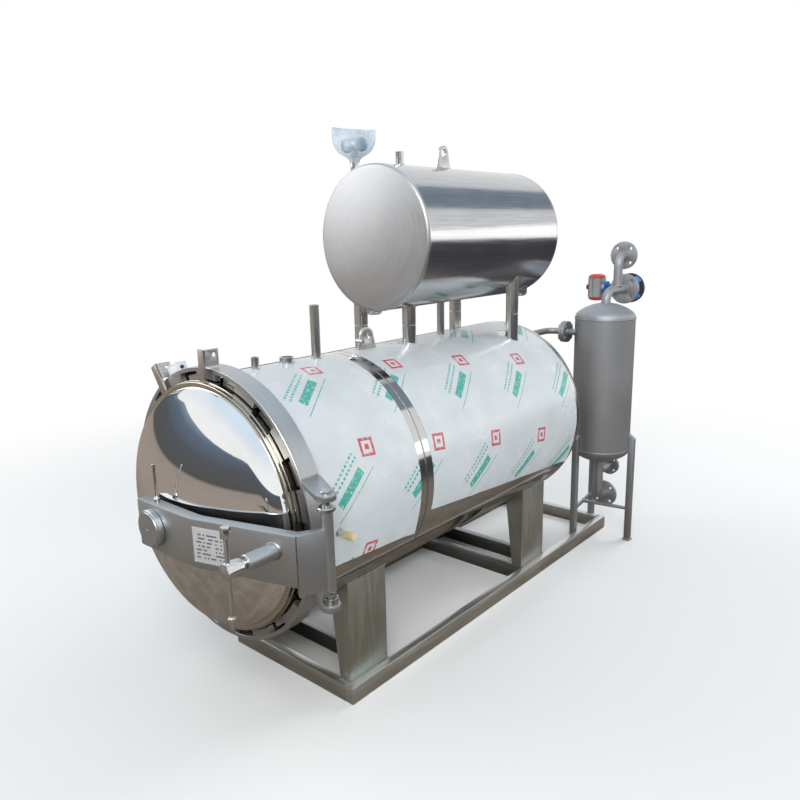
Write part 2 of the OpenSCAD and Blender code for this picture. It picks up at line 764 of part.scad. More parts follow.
module link_bolts() color("silver")
    translate([link_flange_x - 8, link_y, link_z]) rotate([0, 90, 0])
        for (i = [0 : 3])
            rotate([0, 0, (i + 0.5) * 90]) translate([link_flange_d / 2 - 15, 0, 0]) {
                cylinder(d = 12, h = 2 * flange_t + 16, $fn = 32);
                for (z = [0, 2 * flange_t + 8 + joint_gap])
                    translate([0, 0, z]) cylinder(r = 11, h = 8 - joint_gap, $fn = 6);
            }

// Path of the drain pipe below the separator, with a side branch.
module drain_path(d, past = 0) {
    translate([sep_x, sep_y, drain_h + bend_r]) cylinder(d = d, h = sep_h - sep_head_depth - drain_h - bend_r + 60);
    translate([sep_x, sep_y, drain_h + bend_r]) rotate([0, 0, 90]) mirror([0, 0, 1]) bend(d);
    along_y(sep_y + bend_r, drain_h, sep_x) cylinder(d = d, h = drain_reach - bend_r + past);
    along_y(sep_y, drain_branch_h, sep_x) cylinder(d = d, h = drain_branch_l + past);
}

// Drain pipe with an open flange low down to the rear and a flanged branch.
module separator_drain() color("darkgray")
    difference() {
        union() {
            drain_path(pipe_d);
            along_y(sep_y + drain_reach - flange_t, drain_h, sep_x) flange(small_flange_d, 0);
            along_y(sep_y + drain_branch_l - flange_t, drain_branch_h, sep_x) flange(link_flange_d, 0, 15, 14);
        }
        drain_path(pipe_d - 2 * pipe_t, 1);
        translate([sep_x, sep_y, sep_h]) mirror([0, 0, 1]) sep_dish_cut();
    }

base_side_rails();
base_cross_rails();
front_legs();
rear_legs();
shell_front_course();
shell_rear_course();
rear_head();
ring_back_plate();
ring_wall();
ring_teeth();
door_seal();
hinge_lugs();
hinge_pin();
hinge_collars();
door_arm();
hinge_sleeve();
arm_boss();
name_plate();
screw_tube();
handle_hub();
tommy_bar();
door_dome();
door_rim();
door_teeth();
door_lugs();
interlock_box();
vessel_nozzles();
vessel_lifting_lug();
side_nozzle_cap();
tank_shell();
tank_front_head();
tank_rear_head();
tank_legs();
tank_drain_pipe();
tank_lifting_lug();
tank_vent_stub();
tank_valve_riser();
tank_valve_actuator();
tank_actuator_caps();
valve_bag();
separator_shell();
separator_top_head();
separator_bottom_head();
separator_stand();
separator_outlet();
valve_end_flange();
butterfly_valve();
valve_bolts();
valve_actuator();
valve_actuator_caps();
actuator_knob();
link_pipe();
link_bolts();
separator_drain();
lubricator();
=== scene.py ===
from math import asin, atan2, cos, degrees, hypot, pi, radians, sin, sqrt, tan, tau

import bmesh
import bpy
from mathutils import Matrix, Vector, noise


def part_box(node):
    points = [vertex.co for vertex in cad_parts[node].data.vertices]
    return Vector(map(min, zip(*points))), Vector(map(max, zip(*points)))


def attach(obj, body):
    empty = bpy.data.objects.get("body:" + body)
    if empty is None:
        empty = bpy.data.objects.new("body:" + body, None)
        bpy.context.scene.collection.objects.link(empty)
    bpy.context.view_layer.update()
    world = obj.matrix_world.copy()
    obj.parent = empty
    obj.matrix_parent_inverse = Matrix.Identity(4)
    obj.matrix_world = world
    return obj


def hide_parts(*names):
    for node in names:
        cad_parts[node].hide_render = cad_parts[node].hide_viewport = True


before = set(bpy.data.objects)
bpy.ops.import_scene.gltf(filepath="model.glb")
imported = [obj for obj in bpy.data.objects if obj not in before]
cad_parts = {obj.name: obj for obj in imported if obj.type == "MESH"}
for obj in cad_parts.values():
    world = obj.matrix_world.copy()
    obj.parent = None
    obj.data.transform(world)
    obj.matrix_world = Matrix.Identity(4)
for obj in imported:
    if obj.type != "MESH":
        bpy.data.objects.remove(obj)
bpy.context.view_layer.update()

# The view: a standing person's eye, a little to the right of the door, with a moderate wide lens.
# The numbers come from the fit of the base frame, the shell and the ring.
azimuth, pitch, roll = (radians(a) for a in (40.92, 13.07, 1.31))
ahead = Vector((-sin(azimuth) * cos(pitch), cos(azimuth) * cos(pitch), -sin(pitch)))
level = Vector((cos(azimuth), sin(azimuth), 0))
above = level.cross(ahead)
view_x = level * cos(roll) - above * sin(roll)
view_y = above * cos(roll) + level * sin(roll)
eye = bpy.data.objects.new("eye", bpy.data.cameras.new("eye"))
eye.data.sensor_width = 36
eye.data.lens = 32.51
eye.data.clip_end = 200
eye.matrix_world = Matrix((view_x, view_y, -ahead)).transposed().to_4x4()
eye.location = (2.068, -1.690, 1.730)
bpy.context.scene.collection.objects.link(eye)
bpy.context.scene.camera = eye
bpy.context.scene.view_settings.view_transform = "Standard"


# The studio: a pale floor that runs out into a white surround, and soft lamps above.
# Plain cards stand out of the camera's sight, so that polished steel has dark and light bands to mirror.
class Val:
    """A shader socket; operators on it add Math nodes, and node() adds any other node."""

    def __init__(self, socket):
        self.socket = socket

    def node(self, kind, settings, values, out=0):
        tree = self.socket.id_data
        made = tree.nodes.new("ShaderNode" + kind)
        for key, value in settings.items():
            if key == "stops":
                while len(made.color_ramp.elements) < len(value):
                    made.color_ramp.elements.new(0.5)
                for stop, (place, colour) in zip(made.color_ramp.elements, value):
                    stop.position = place
                    stop.color = (*colour, 1) if isinstance(colour, tuple) else (colour, colour, colour, 1)
            else:
                setattr(made, key, value)
        for key, value in values.items():
            if isinstance(value, Val):
                tree.links.new(value.socket, made.inputs[key])
            elif isinstance(value, tuple) and len(value) == 3 and len(made.inputs[key].default_value) == 4:
                made.inputs[key].default_value = (*value, 1)
            else:
                made.inputs[key].default_value = value
        return Val(made.outputs[out])

    def math(self, operation, *values):
        return self.node("Math", {"operation": operation}, dict(enumerate(values)))

    def __add__(self, other): return self.math("ADD", self, other)
    def __radd__(self, other): return self.math("ADD", other, self)
    def __sub__(self, other): return self.math("SUBTRACT", self, other)
    def __rsub__(self, other): return self.math("SUBTRACT", other, self)
    def __mul__(self, other): return self.math("MULTIPLY", self, other)
    def __rmul__(self, other): return self.math("MULTIPLY", other, self)
    def __truediv__(self, other): return self.math("DIVIDE", self, other)
    def __abs__(self): return self.math("ABSOLUTE", self)
    def __lt__(self, other): return self.math("LESS_THAN", self, other)
    def __gt__(self, other): return self.math("GREATER_THAN", self, other)
    def __mod__(self, other): return self.math("FLOORED_MODULO", self, other)

    def root(self):
        return self.math("SQRT", self)

    def ease(self, low, high):
        return self.node("MapRange", {"interpolation_type": "SMOOTHSTEP"}, {"Value": self, 1: low, 2: high})

    def blend(self, first, second):
        return self.node("Mix", {"data_type": "RGBA"}, {0: self, 6: first, 7: second}, 2)

    def noise(self, scale, detail=3.0, rough=0.5, stretch=(1, 1, 1)):
        spread = self.node("Mapping", {}, {"Vector": self, "Scale": stretch})
        return spread.node("TexNoise", {}, {"Vector": spread, "Scale": scale, "Detail": detail, "Roughness": rough})

    def split(self):
        parts = self.node("SeparateXYZ", {}, {0: self})
        return [Val(o) for o in parts.socket.node.outputs]


def start(name):
    """A new material: its place on the object, and a call that sets the shader."""
    made = bpy.data.materials.new(name)
    made.use_nodes = True
    shader = made.node_tree.nodes["Principled BSDF"]
    place = Val(made.node_tree.nodes.new("ShaderNodeTexCoord").outputs["Object"])

    def shade(**values):
        for key, value in values.items():
            socket = shader.inputs[key.replace("_", " ")]
            if isinstance(value, Val):
                made.node_tree.links.new(value.socket, socket)
            else:
                socket.default_value = (*value, 1) if isinstance(value, tuple) and len(value) == 3 else value
        return made
    return place, shade


def bump(height, strength, distance):
    return height.node("Bump", {}, {"Height": height, "Strength": strength, "Distance": distance})


def stage_card(name, corners, material, mirrored_only=True):
    """A flat or curved card of the studio, as a strip of quads between pairs of corners."""
    made = bpy.data.objects.new(name, bpy.data.meshes.new(name))
    quads = [(i, i + 1, i + 3, i + 2) for i in range(0, len(corners) - 2, 2)]
    made.data.from_pydata(corners, [], quads)
    made.data.materials.append(material)
    bpy.context.scene.collection.objects.link(made)
    if mirrored_only:
        made.visible_camera = made.visible_diffuse = made.visible_shadow = made.visible_transmission = False
    return made


def glow(name, colour_of):
    """A card's material: plain emission whose colour comes from the place on it."""
    place, shade = start(name)
    made = shade()
    light = place.node("Emission", {}, {"Color": colour_of(place), "Strength": 1.0})
    made.node_tree.links.new(light.socket, made.node_tree.nodes["Material Output"].inputs["Surface"])
    return made


middle = 0.6
ground_tone, sky_tone = (0.36, 0.305, 0.262), (0.26, 0.32, 0.4)
place, shade = start("pale_floor")
far_x, far_y, _ = place.split()
far = (far_x * far_x + (far_y - middle) * (far_y - middle)).root()
mirrored = place.node("LightPath", {}, {}, "Is Glossy Ray")
# Mirrors see the floor as ground: paving mottled at random, with painted shade that darkens it near the object, and a
# band of painted shade out to the right and behind.
painted_shade_side = far_x.math("MAXIMUM", far_x.ease(1.5, 2.8), far_y.ease(2.3, 3.3))
shaded_paving = place.noise(4, 6, 0.7).ease(0.3, 0.7).blend((0.17, 0.138, 0.108), (0.25, 0.21, 0.17))
shaded_paving = far.ease(1.5, 5.0).blend(shaded_paving, ground_tone)
mirror_tone = painted_shade_side.blend(shaded_paving, (0.07, 0.07, 0.078))
floor_tone = mirrored.blend((0.86, 0.86, 0.85), mirror_tone)
floor = shade(Base_Color=floor_tone, Roughness=0.8, Specular_IOR_Level=0.2)
tree = floor.node_tree
distance = place.node("Emission", {}, {"Color": mirrored.blend((1, 1, 1), mirror_tone), "Strength": 1.0})
lit = Val(tree.nodes["Principled BSDF"].outputs[0])
both = place.node("MixShader", {}, {0: far.ease(1.8, 5.0), 1: lit, 2: distance})
tree.links.new(both.socket, tree.nodes["Material Output"].inputs["Surface"])
stage_card("floor", [(-90, -90, 0), (90, -90, 0), (-90, 90, 0), (90, 90, 0)], floor, False)

# A curved card before the door has ground tones at its foot and dark ones above; its blue-grey upper edge
# sinks toward the right. A blue-grey card lies overhead, and a bright one stands behind on the right.
wall_r, wall_h, sink = 14.0, 6.4, 2.3
wall_tones = [(0.0, ground_tone), (0.17, (0.33, 0.285, 0.25)), (0.22, (0.1, 0.095, 0.09)),
              (0.55, (0.1, 0.11, 0.125)), (0.85, (0.13, 0.17, 0.23)), (1.0, sky_tone)]
wall = []
for turn_by in range(150, 343, 8):
    spot = Vector((wall_r * cos(radians(turn_by)), wall_r * sin(radians(turn_by)) + middle, 0))
    lower = sink * (0.5 - 0.5 * cos(pi * max(0.0, min(1.0, (turn_by - 215) / 95))))
    wall += [tuple(spot), tuple(spot + Vector((0, 0, wall_h - lower)))]
stage_card("dark_card", wall, glow("dark_card", lambda at: at.node(
    "ValToRGB", {"stops": wall_tones}, {0: at.split()[2] / wall_h})))
stage_card("overhead_card", [(0.3, 3, 4.6), (2.9, 3, 4.6), (0.3, 10, 4.6), (2.9, 10, 4.6)],
           glow("overhead_card", lambda at: at.noise(0.5).blend(sky_tone, (0.3, 0.35, 0.42))))
stage_card("window_card", [(1.8, 6, 1.35), (1.8, 6, 2.5), (7, 6, 1.35), (7, 6, 2.5)],
           glow("window_card", lambda at: at.noise(0.5).blend((1.9, 1.9, 1.88), (2.0, 2.0, 1.98))))

world = bpy.data.worlds.new("surround")
world.use_nodes = True
bpy.context.scene.world = world
back = world.node_tree.nodes["Background"]
ray = world.node_tree.nodes.new("ShaderNodeLightPath")
seen = Val(ray.outputs["Is Camera Ray"]) + Val(ray.outputs["Is Glossy Ray"]) + Val(ray.outputs["Is Transmission Ray"])
world.node_tree.links.new((0.55 + seen.math("MINIMUM", seen, 1.0) * 0.45).socket, back.inputs["Strength"])
overhead = Val(world.node_tree.nodes.new("ShaderNodeTexCoord").outputs["Generated"]).split()[2]
world.node_tree.links.new(overhead.ease(0.4, 0.95).blend((1, 1, 1), (0.76, 0.88, 1.0)).socket, back.inputs["Color"])

no_lamps = bpy.data.collections.new("no_lamps")


def leave_lamps_out(mirror):
    """Keeps the lamps' discs out of a mirror, which then shows the cards and the surround alone."""
    no_lamps.objects.link(mirror)
    no_lamps.collection_objects[-1].light_linking.link_state = "EXCLUDE"


for name, spot, aim, size, power in (("key", (3.2, -3.4, 4.6), (0, 0.4, 0.8), 3.0, 190),
                                     ("fill", (-4.5, -2.7, 3.5), (0, 0.4, 0.9), 4.4, 115),
                                     ("rear", (1.5, 5.2, 4.2), (0, 0.8, 1.0), 3.0, 120)):
    lamp = bpy.data.objects.new(name, bpy.data.lights.new(name, "AREA"))
    lamp.data.shape = "DISK"
    lamp.data.size = size
    lamp.data.energy = power
    lamp.location = spot
    lamp.rotation_euler = (Vector(aim) - Vector(spot)).to_track_quat("-Z", "Y").to_euler()
    lamp.light_linking.receiver_collection = no_lamps
    lamp.visible_glossy = name != "rear"
    bpy.context.scene.collection.objects.link(lamp)


# Base frame: rectangular stainless tubes, with five cross tubes welded in between the two side tubes.
# Satin as rolled, drawn along their length, with the weld beads left on and heat-tinted.
def add(bm, part):
    """Joins a finished part into a piece's mesh."""
    bmesh.ops.remove_doubles(part, verts=part.verts[:], dist=1e-6)
    bmesh.ops.recalc_face_normals(part, faces=part.faces[:])
    mesh = bpy.data.meshes.new("part")
    part.to_mesh(mesh)
    part.free()
    bm.from_mesh(mesh)
    bpy.data.meshes.remove(mesh)


def soften(part, edge, segments=2, above_angle=25):
    """Rounds the edges of a part that are sharper than an angle."""
    bmesh.ops.recalc_face_normals(part, faces=part.faces[:])
    sharp = [e for e in part.edges if e.calc_face_angle(0) > radians(above_angle)]
    bmesh.ops.bevel(part, geom=sharp, offset=edge, segments=segments, profile=0.5, affect="EDGES",
                    clamp_overlap=True)


def block(bm, low, high, edge=0.002, where=Matrix()):
    part = bmesh.new()
    bmesh.ops.create_cube(part, size=1)
    for v in part.verts:
        v.co = Vector((low[i] + (v.co[i] + 0.5) * (high[i] - low[i]) for i in range(3)))
    soften(part, edge)
    bmesh.ops.transform(part, matrix=where, verts=part.verts[:])
    add(bm, part)


def rings_along(part, points, radii, sides, loop=False):
    """Rings of points round a line; radii gives the radii of the rings at a point's number."""
    turns = [tau * k / sides for k in range(sides)]
    rings, side = [], None
    for i, p in enumerate(points):
        before = points[i - 1] if i or loop else p
        after = points[(i + 1) % len(points)] if i < len(points) - 1 or loop else p
        way = (after - before).normalized()
        side = way.orthogonal().normalized() if side is None else (side - way * side.dot(way)).normalized()
        up = way.cross(side)
        rings.append([[part.verts.new(p + r * (side * cos(t) + up * sin(t))) for t in turns] for r in radii(i)])
    return rings


def skin(part, pairs):
    """Faces between pairs of closed rings."""
    for a, b in pairs:
        for k in range(len(a)):
            part.faces.new((a[k - 1], a[k], b[k], b[k - 1]))


def sweep(bm, points, radius, sides=16, loop=False):
    """A round bar along points; radius is a number, or a function of the point's number."""
    part = bmesh.new()
    size = radius if callable(radius) else lambda i: radius
    rings = [ring for ring, in rings_along(part, [Vector(p) for p in points], lambda i: (size(i),), sides, loop)]
    skin(part, zip(rings, rings[1:] + rings[:1] if loop else rings[1:]))
    if not loop:
        part.faces.new(rings[0])
        part.faces.new(rings[-1])
    add(bm, part)


def bead(bm, points, size, loop=False):
    """A weld bead: a rippled round along a line."""
    points = [Vector(p) for p in points]
    line = points + points[:1] if loop else points
    spots = []
    for a, b in zip(line, line[1:]):
        count = max(1, round((b - a).length / (size * 0.9)))
        spots += [a.lerp(b, k / count) for k in range(count)]
    if not loop:
        spots.append(line[-1])
    sweep(bm, spots, lambda i: size * (1 + 0.12 * sin(i * 2.2) + 0.15 * noise.noise(spots[i] * 60)), 7, loop)


def piece(name, bm, finish, body="vessel", nodes=(), crease=32):
    """Makes the mesh an object with its finish, and says what it rides on and stands for."""
    mesh = bpy.data.meshes.new(name)
    bm.to_mesh(mesh)
    bm.free()
    mesh.polygons.foreach_set("use_smooth", [True] * len(mesh.polygons))
    mesh.set_sharp_from_angle(angle=radians(crease))
    mesh.materials.append(finish)
    made = bpy.data.objects.new(name, mesh)
    bpy.context.scene.collection.objects.link(made)
    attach(made, body)
    if nodes:
        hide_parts(*nodes)
    return made


def dress(node, bm, finish, body="vessel", crease=32):
    """A piece that stands for one CAD node."""
    return piece(node + "_dressed", bm, finish, body, (node,), crease)


def weld(name, bm, body="vessel"):
    piece(name, bm, bead_steel, body)


def lumps(node):
    """The boxes of a CAD node's separate solids, front to back."""
    bm = bmesh.new()
    bm.from_mesh(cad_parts[node].data)
    bmesh.ops.remove_doubles(bm, verts=bm.verts[:], dist=1e-6)
    left, found = set(bm.verts), []
    while left:
        group, edge = set(), [left.pop()]
        while edge:
            v = edge.pop()
            group.add(v)
            edge += [w for e in v.link_edges for w in e.verts if w in left]
            left -= set(edge)
        spots = [v.co for v in group]
        found.append(tuple(Vector((f(s[i] for s in spots) for i in range(3))) for f in (min, max)))
    bm.free()
    return sorted(found, key=lambda box: (round(box[0].y, 3), round(box[0].x, 3), box[0].z))


def steel(name, dark, light, rough, grain, stretch, relief=0.05, smudge=2.5):
    """A steel finish: fine grain in one direction, cloudy handling marks, and a roughness that follows both."""
    place, shade = start(name)
    fine = place.noise(grain, 5, 0.6, stretch)
    cloud = place.noise(smudge, 4, 0.6)
    mixed = fine * 0.6 + cloud * 0.4
    return shade(Base_Color=mixed.ease(0.3, 0.72).blend(dark, light), Metallic=1.0,
                 Roughness=rough[0] + (rough[1] - rough[0]) * mixed.ease(0.3, 0.7),
                 Normal=bump(fine, relief, 0.001))


def tinted(finish, name, tint, size, amount):
    """A copy of a finish with patches of another tint, such as heat colour beside a weld."""
    made = finish.copy()
    made.name = name
    shader = made.node_tree.nodes["Principled BSDF"].inputs["Base Color"]
    old = Val(shader.links[0].from_socket)
    place = Val(next(n for n in made.node_tree.nodes if n.type == "TEX_COORD").outputs["Object"])
    made.node_tree.links.new((place.noise(size, 5, 0.65).ease(0.45, 0.7) * amount).blend(old, tint).socket, shader)
    return made


rail_steel = steel("rail_steel", (0.62, 0.635, 0.61), (0.76, 0.77, 0.745), (0.3, 0.46), 90, (1, 0.05, 1), 0.08)
# The inner cross tubes take a much darker copy of the rail steel, as painted shade under the vessel; the end tubes
# take a somewhat darker copy.
shaded_cross_steel = steel("shaded_cross_steel", (0.2, 0.21, 0.21), (0.3, 0.31, 0.31), (0.32, 0.48), 90, (0.05, 1, 1), 0.08)
end_rail_steel = steel("end_rail_steel", (0.5, 0.515, 0.5), (0.64, 0.655, 0.635), (0.3, 0.46), 90, (0.05, 1, 1), 0.08)
bead_steel = tinted(steel("bead_plain", (0.3, 0.29, 0.27), (0.5, 0.49, 0.46), (0.3, 0.5), 300, (1, 1, 1), 0.3),
                    "bead_steel", (0.2, 0.15, 0.1), 30, 0.6)
tube_edge, tuck = 0.0045, Vector((0.003, 0, 0))
cross_rails = lumps("base_cross_rails")
frame_front, frame_rear = cross_rails[0][0].y, cross_rails[-1][1].y
bm = bmesh.new()
for low, high in lumps("base_side_rails"):
    block(bm, low, high, tube_edge)
dress("base_side_rails", bm, rail_steel)
bm, end_rails, welds = bmesh.new(), bmesh.new(), bmesh.new()
for low, high in cross_rails:
    at_end = low.y == frame_front or high.y == frame_rear
    block(end_rails if at_end else bm, low - tuck, high + tuck, tube_edge)
    for x in (low.x, high.x):
        for y in (low.y, high.y):
            if y not in (frame_front, frame_rear):
                bead(welds, [(x, y, 0.006), (x, y, high.z - 0.004)], 0.003)
        bead(welds, [(x, low.y + 0.004, high.z - 0.001), (x, high.y - 0.004, high.z - 0.001)], 0.0028)
dress("base_cross_rails", bm, shaded_cross_steel)
piece("base_end_rails", end_rails, end_rail_steel)
weld("base_welds", welds)


# Legs: four flared box legs folded from satin plate, standing on the rails.
# Their tops are cut to the round of the shell and welded to it all round.
def plate(bm, loops, low, high, edge=0.0, where=Matrix()):
    """A flat plate: the first loop is its outline, and the others are holes."""
    part = bmesh.new()
    rims = []
    for height in (low, high):
        rim = [[part.verts.new((x, y, height)) for x, y in loop] for loop in loops]
        edges = [part.edges.new((loop[i - 1], loop[i])) for loop in rim for i in range(len(loop))]
        if len(loops) == 1:
            part.faces.new(rim[0])
        else:
            bmesh.ops.triangle_fill(part, use_beauty=True, edges=edges)
        rims.append(rim)
    skin(part, zip(*rims))
    if edge:
        soften(part, edge)
    bmesh.ops.transform(part, matrix=where, verts=part.verts[:])
    add(bm, part)


def arc(x, y, r, first, last, steps):
    """Points on an arc between two angles in degrees."""
    turns = [radians(first + (last - first) * i / steps) for i in range(steps + 1)]
    return [(x + r * cos(t), y + r * sin(t)) for t in turns]


def spin(angle, axis):
    """A rotation by an angle in degrees."""
    return Matrix.Rotation(radians(angle), 4, axis)


shell_low, shell_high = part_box("shell_rear_course")
shell_r = (shell_high.z - shell_low.z) / 2
axis_z = (shell_high.z + shell_low.z) / 2
upright = spin(90, "X")
foot_w, leg_flare, flare_top = 0.06, 0.055, 0.55 * shell_r
leg_steel = steel("leg_steel", (0.45, 0.462, 0.432), (0.58, 0.592, 0.555), (0.34, 0.5), 60, (1, 1, 0.08), 0.06)
for node in ("front_legs", "rear_legs"):
    low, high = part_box(node)
    rail_top = low.z
    slope = leg_flare / (axis_z - flare_top - rail_top)
    bm, welds = bmesh.new(), bmesh.new()
    for side in (-1, 1):
        out = high.x
        top_out = axis_z - sqrt(shell_r ** 2 - out ** 2)
        inner = out - foot_w
        while inner > out - foot_w - slope * (axis_z - sqrt(shell_r ** 2 - inner ** 2) - rail_top):
            inner -= 0.001
        first, last = (degrees(asin(x / shell_r)) - 90 for x in (out, inner))
        curve = arc(0, axis_z, shell_r + 0.0005, first, last, 10)
        outline = [(out - foot_w, rail_top), (out, rail_top)] + curve
        plate(bm, [[(side * x, z) for x, z in outline]], -high.y, -low.y, 0.005, upright)
        for y in (low.y, high.y):
            bead(welds, [(side * x, y, z - 0.002) for x, z in curve], 0.0032)
            bead(welds, [(side * (out - foot_w), y, rail_top), (side * out, y, rail_top)], 0.003)
        bead(welds, [(side * out, low.y, top_out - 0.003), (side * out, high.y, top_out - 0.003)], 0.0032)
        bead(welds, [(side * out, low.y, rail_top), (side * out, high.y, rail_top)], 0.003)
    dress(node, bm, leg_steel)
    weld(node + "_welds", welds)


# Shell: two courses of stainless plate, rolled and polished to a mirror, butt welded and ground flush.
# The dished rear head is spun from the same plate.
def turn(bm, profile, where=Matrix(), steps=96, first=0.0, last=360.0):
    """Turns a half outline of (radius, height) points about the local Z axis."""
    part = bmesh.new()
    whole = last - first >= 360
    count = steps if whole else steps + 1
    rings = []
    for i in range(count):
        t = radians(first + (last - first) * i / steps)
        rings.append([part.verts.new(where @ Vector((r * cos(t), r * sin(t), h))) for r, h in profile])
    for i in range(steps):
        a, b = rings[i], rings[(i + 1) % count]
        for j in range(len(profile) - 1):
            part.faces.new((a[j], b[j], b[j + 1], a[j + 1]))
    if not whole:
        for ring in (rings[0], rings[-1]):
            part.faces.new(ring[:-1])
    add(bm, part)


def dish(r, knuckle, depth, steps=14):
    """Half outline of a dished end, from its rim at height 0 up to the middle of its crown."""
    crown = (depth ** 2 + (r - knuckle) ** 2 - knuckle ** 2) / (2 * (depth - knuckle))
    side = degrees(asin((r - knuckle) / (crown - knuckle)))
    bend = arc(r - knuckle, 0, knuckle, 0, 90 - side, steps)
    return bend + arc(0, depth - crown, crown, 90 - side, 90, 2 * steps)[1:]


def walled(outer, inner):
    """A closed half outline from an outer and an inner line that run the same way."""
    return outer + inner[::-1] + outer[:1]


def drum(r, t, low, high):
    """Half outline of a rolled drum with a wall."""
    return walled([(r, low), (r, high)], [(r - t, low), (r - t, high)])


def dished(r, t, knuckle, depth, rim, sign=1, steps=14):
    """Half outline of a dished end with a wall, from its rim out along a sign."""
    return walled(*([(a, rim + sign * h) for a, h in dish(r - cut, knuckle - cut, depth - cut, steps)]
                    for cut in (0, t)))


def ridge(r, at, half, shoulder, crest):
    """Half outline of a ground weld seam, which stands a little proud of its plate."""
    line = [(r - 0.002, at - half), (r + shoulder, at - 0.004), (r + crest, at), (r + shoulder, at + 0.004),
            (r - 0.002, at + half)]
    return line + line[:1]


def turned(*shape):
    """A mesh of its own for one turned shape."""
    bm = bmesh.new()
    turn(bm, *shape)
    return bm


def shift(x, y, z):
    return Matrix.Translation((x, y, z))


def polished(name, tint, rough, wave=0.02, grain=(1, 0.08, 1)):
    """Polished steel: mirror bright, with faint polishing lines, smears and a slightly wavy plate."""
    place, shade = start(name)
    lines = place.noise(140, 4, 0.6, grain)
    smear = place.noise(3.5, 5, 0.62)
    swell = place.noise(2.2, 1, 0.4)
    return shade(Base_Color=smear.ease(0.35, 0.75).blend(tint, tuple(c * 0.88 for c in tint)), Metallic=1.0,
                 Roughness=rough + 0.5 * rough * lines + rough * smear.ease(0.5, 0.8),
                 Normal=bump(swell + 0.0035 * lines, wave, 0.05))


lengthwise = shift(0, 0, axis_z) @ spin(-90, "X")
plate_t = 0.006
mirror_plate = polished("mirror_plate", (0.62, 0.62, 0.61), 0.07, 0.05)
for node in ("shell_front_course", "shell_rear_course"):
    low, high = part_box(node)
    course = turned(drum(shell_r, plate_t, low.y, high.y), lengthwise, 160)
    leave_lamps_out(dress(node, course, mirror_plate))
low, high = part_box("rear_head")
head_depth, head_knuckle = high.y - low.y, 0.09
dress("rear_head", turned(dished(shell_r, plate_t, head_knuckle, head_depth, low.y), lengthwise, 128),
      polished("spun_head", (0.56, 0.56, 0.55), 0.12, 0.06))
bm = bmesh.new()
for y in (shell_low.y, shell_high.y):
    turn(bm, ridge(shell_r, y, 0.006, 0.0004, 0.0011), lengthwise, 160)
ground_seam = steel("ground_seam", (0.3, 0.3, 0.29), (0.5, 0.5, 0.48), (0.22, 0.36), 400, (1, 0.1, 1), 0.1)
piece("shell_seams", bm, ground_seam)


# Locking ring: a heavy turned ring round the mouth, with fourteen teeth inside its front edge.
# Satin stainless with the lathe's lines left on it, welded to the front course through a back plate.
def spun(name, dark, light, rough, centre, relief=0.08, lines=420):
    """Turned or spun steel: fine rings about a lengthwise axis, and cloudy marks."""
    place, shade = start(name)
    x, y, z = place.split()
    x, z = x - centre[0], z - centre[1]
    round_at = (x * x + z * z).root()
    angle = z.math("ARCTAN2", z, x)
    rings = place.node("CombineXYZ", {}, {0: round_at * lines, 1: y * lines, 2: angle * 1.5})
    fine = rings.noise(1, 4, 0.6)
    cloud = place.noise(4, 4, 0.6)
    mixed = fine * 0.55 + cloud * 0.45
    return shade(Base_Color=mixed.ease(0.3, 0.72).blend(dark, light), Metallic=1.0,
                 Roughness=rough[0] + (rough[1] - rough[0]) * mixed.ease(0.3, 0.7),
                 Normal=bump(fine, relief, 0.001))


def hoop(bm, where, r, count, size):
    """A weld bead all round a circle about the local Z axis."""
    turns = (tau * k / count for k in range(count))
    bead(bm, [where @ Vector((r * cos(t), r * sin(t), 0)) for t in turns], size, True)


ring_low, ring_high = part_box("ring_wall")
tooth_low, tooth_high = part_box("ring_teeth")
plate_low, plate_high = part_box("ring_back_plate")
ring_r, wall_t, teeth = ring_high.x, 0.0145, 14
bore_r, bevel, chamfer = ring_r - wall_t, 0.0022, 0.002
tooth_r, tooth_root = bore_r - 0.025, bore_r + 0.001
pitch = 360 / teeth
front, rear = ring_low.y, ring_high.y
tooth_end = front + tooth_high.y - tooth_low.y
ring_steel = spun("ring_steel", (0.44, 0.455, 0.46), (0.55, 0.565, 0.57), (0.32, 0.44), (0, axis_z))
tooth_steel = spun("tooth_steel", (0.38, 0.385, 0.39), (0.47, 0.475, 0.48), (0.42, 0.55), (0, axis_z))
dress("ring_wall", turned(
    [(bore_r, rear), (ring_r - 0.0015, rear), (ring_r, rear - 0.0015), (ring_r, front + bevel),
     (ring_r - bevel, front), (bore_r + 0.001, front), (bore_r, front + 0.001), (bore_r, rear)],
    lengthwise, 192), ring_steel)
dress("ring_back_plate", turned(
    walled([(shell_r, plate_low.y), (bore_r, plate_low.y)], [(shell_r, plate_high.y), (bore_r, plate_high.y)]),
    lengthwise, 160), tooth_steel)
bm = bmesh.new()
for i in range(teeth):
    turn(bm, [(tooth_root, front), (tooth_root, tooth_end), (tooth_r + chamfer, tooth_end),
              (tooth_r, tooth_end - chamfer), (tooth_r, front + chamfer), (tooth_r + chamfer, front),
              (tooth_root, front)], lengthwise, 10, (i + 0.25) * pitch, (i + 0.75) * pitch)
dress("ring_teeth", bm, tooth_steel)
bm = bmesh.new()
hoop(bm, lengthwise @ shift(0, 0, rear + 0.001), shell_r, 160, 0.0045)
weld("ring_weld", bm)

# Door seal: a moulded black rubber ring on the back plate, dusted with talc.
# It is round at its lip and held by its own stretch.
low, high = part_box("door_seal")
seal_in, seal_out = shell_r + 0.002, high.x
seal_mid, seal_half = (seal_in + seal_out) / 2, (seal_out - seal_in) / 2
place, shade = start("seal_rubber")
dust = place.noise(40, 5, 0.7)
rubber = shade(Base_Color=dust.ease(0.5, 0.8).blend((0.012, 0.011, 0.011), (0.06, 0.058, 0.055)),
               Roughness=0.55 + 0.3 * dust, Normal=bump(place.noise(600, 3), 0.15, 0.0005))
lip = [(seal_mid + seal_half * cos(t), high.y + (high.y - low.y) * sin(t))
       for t in (radians(180 + 15 * k) for k in range(13))]
dress("door_seal", turned(lip + [(seal_in, high.y)], lengthwise, 160), rubber)


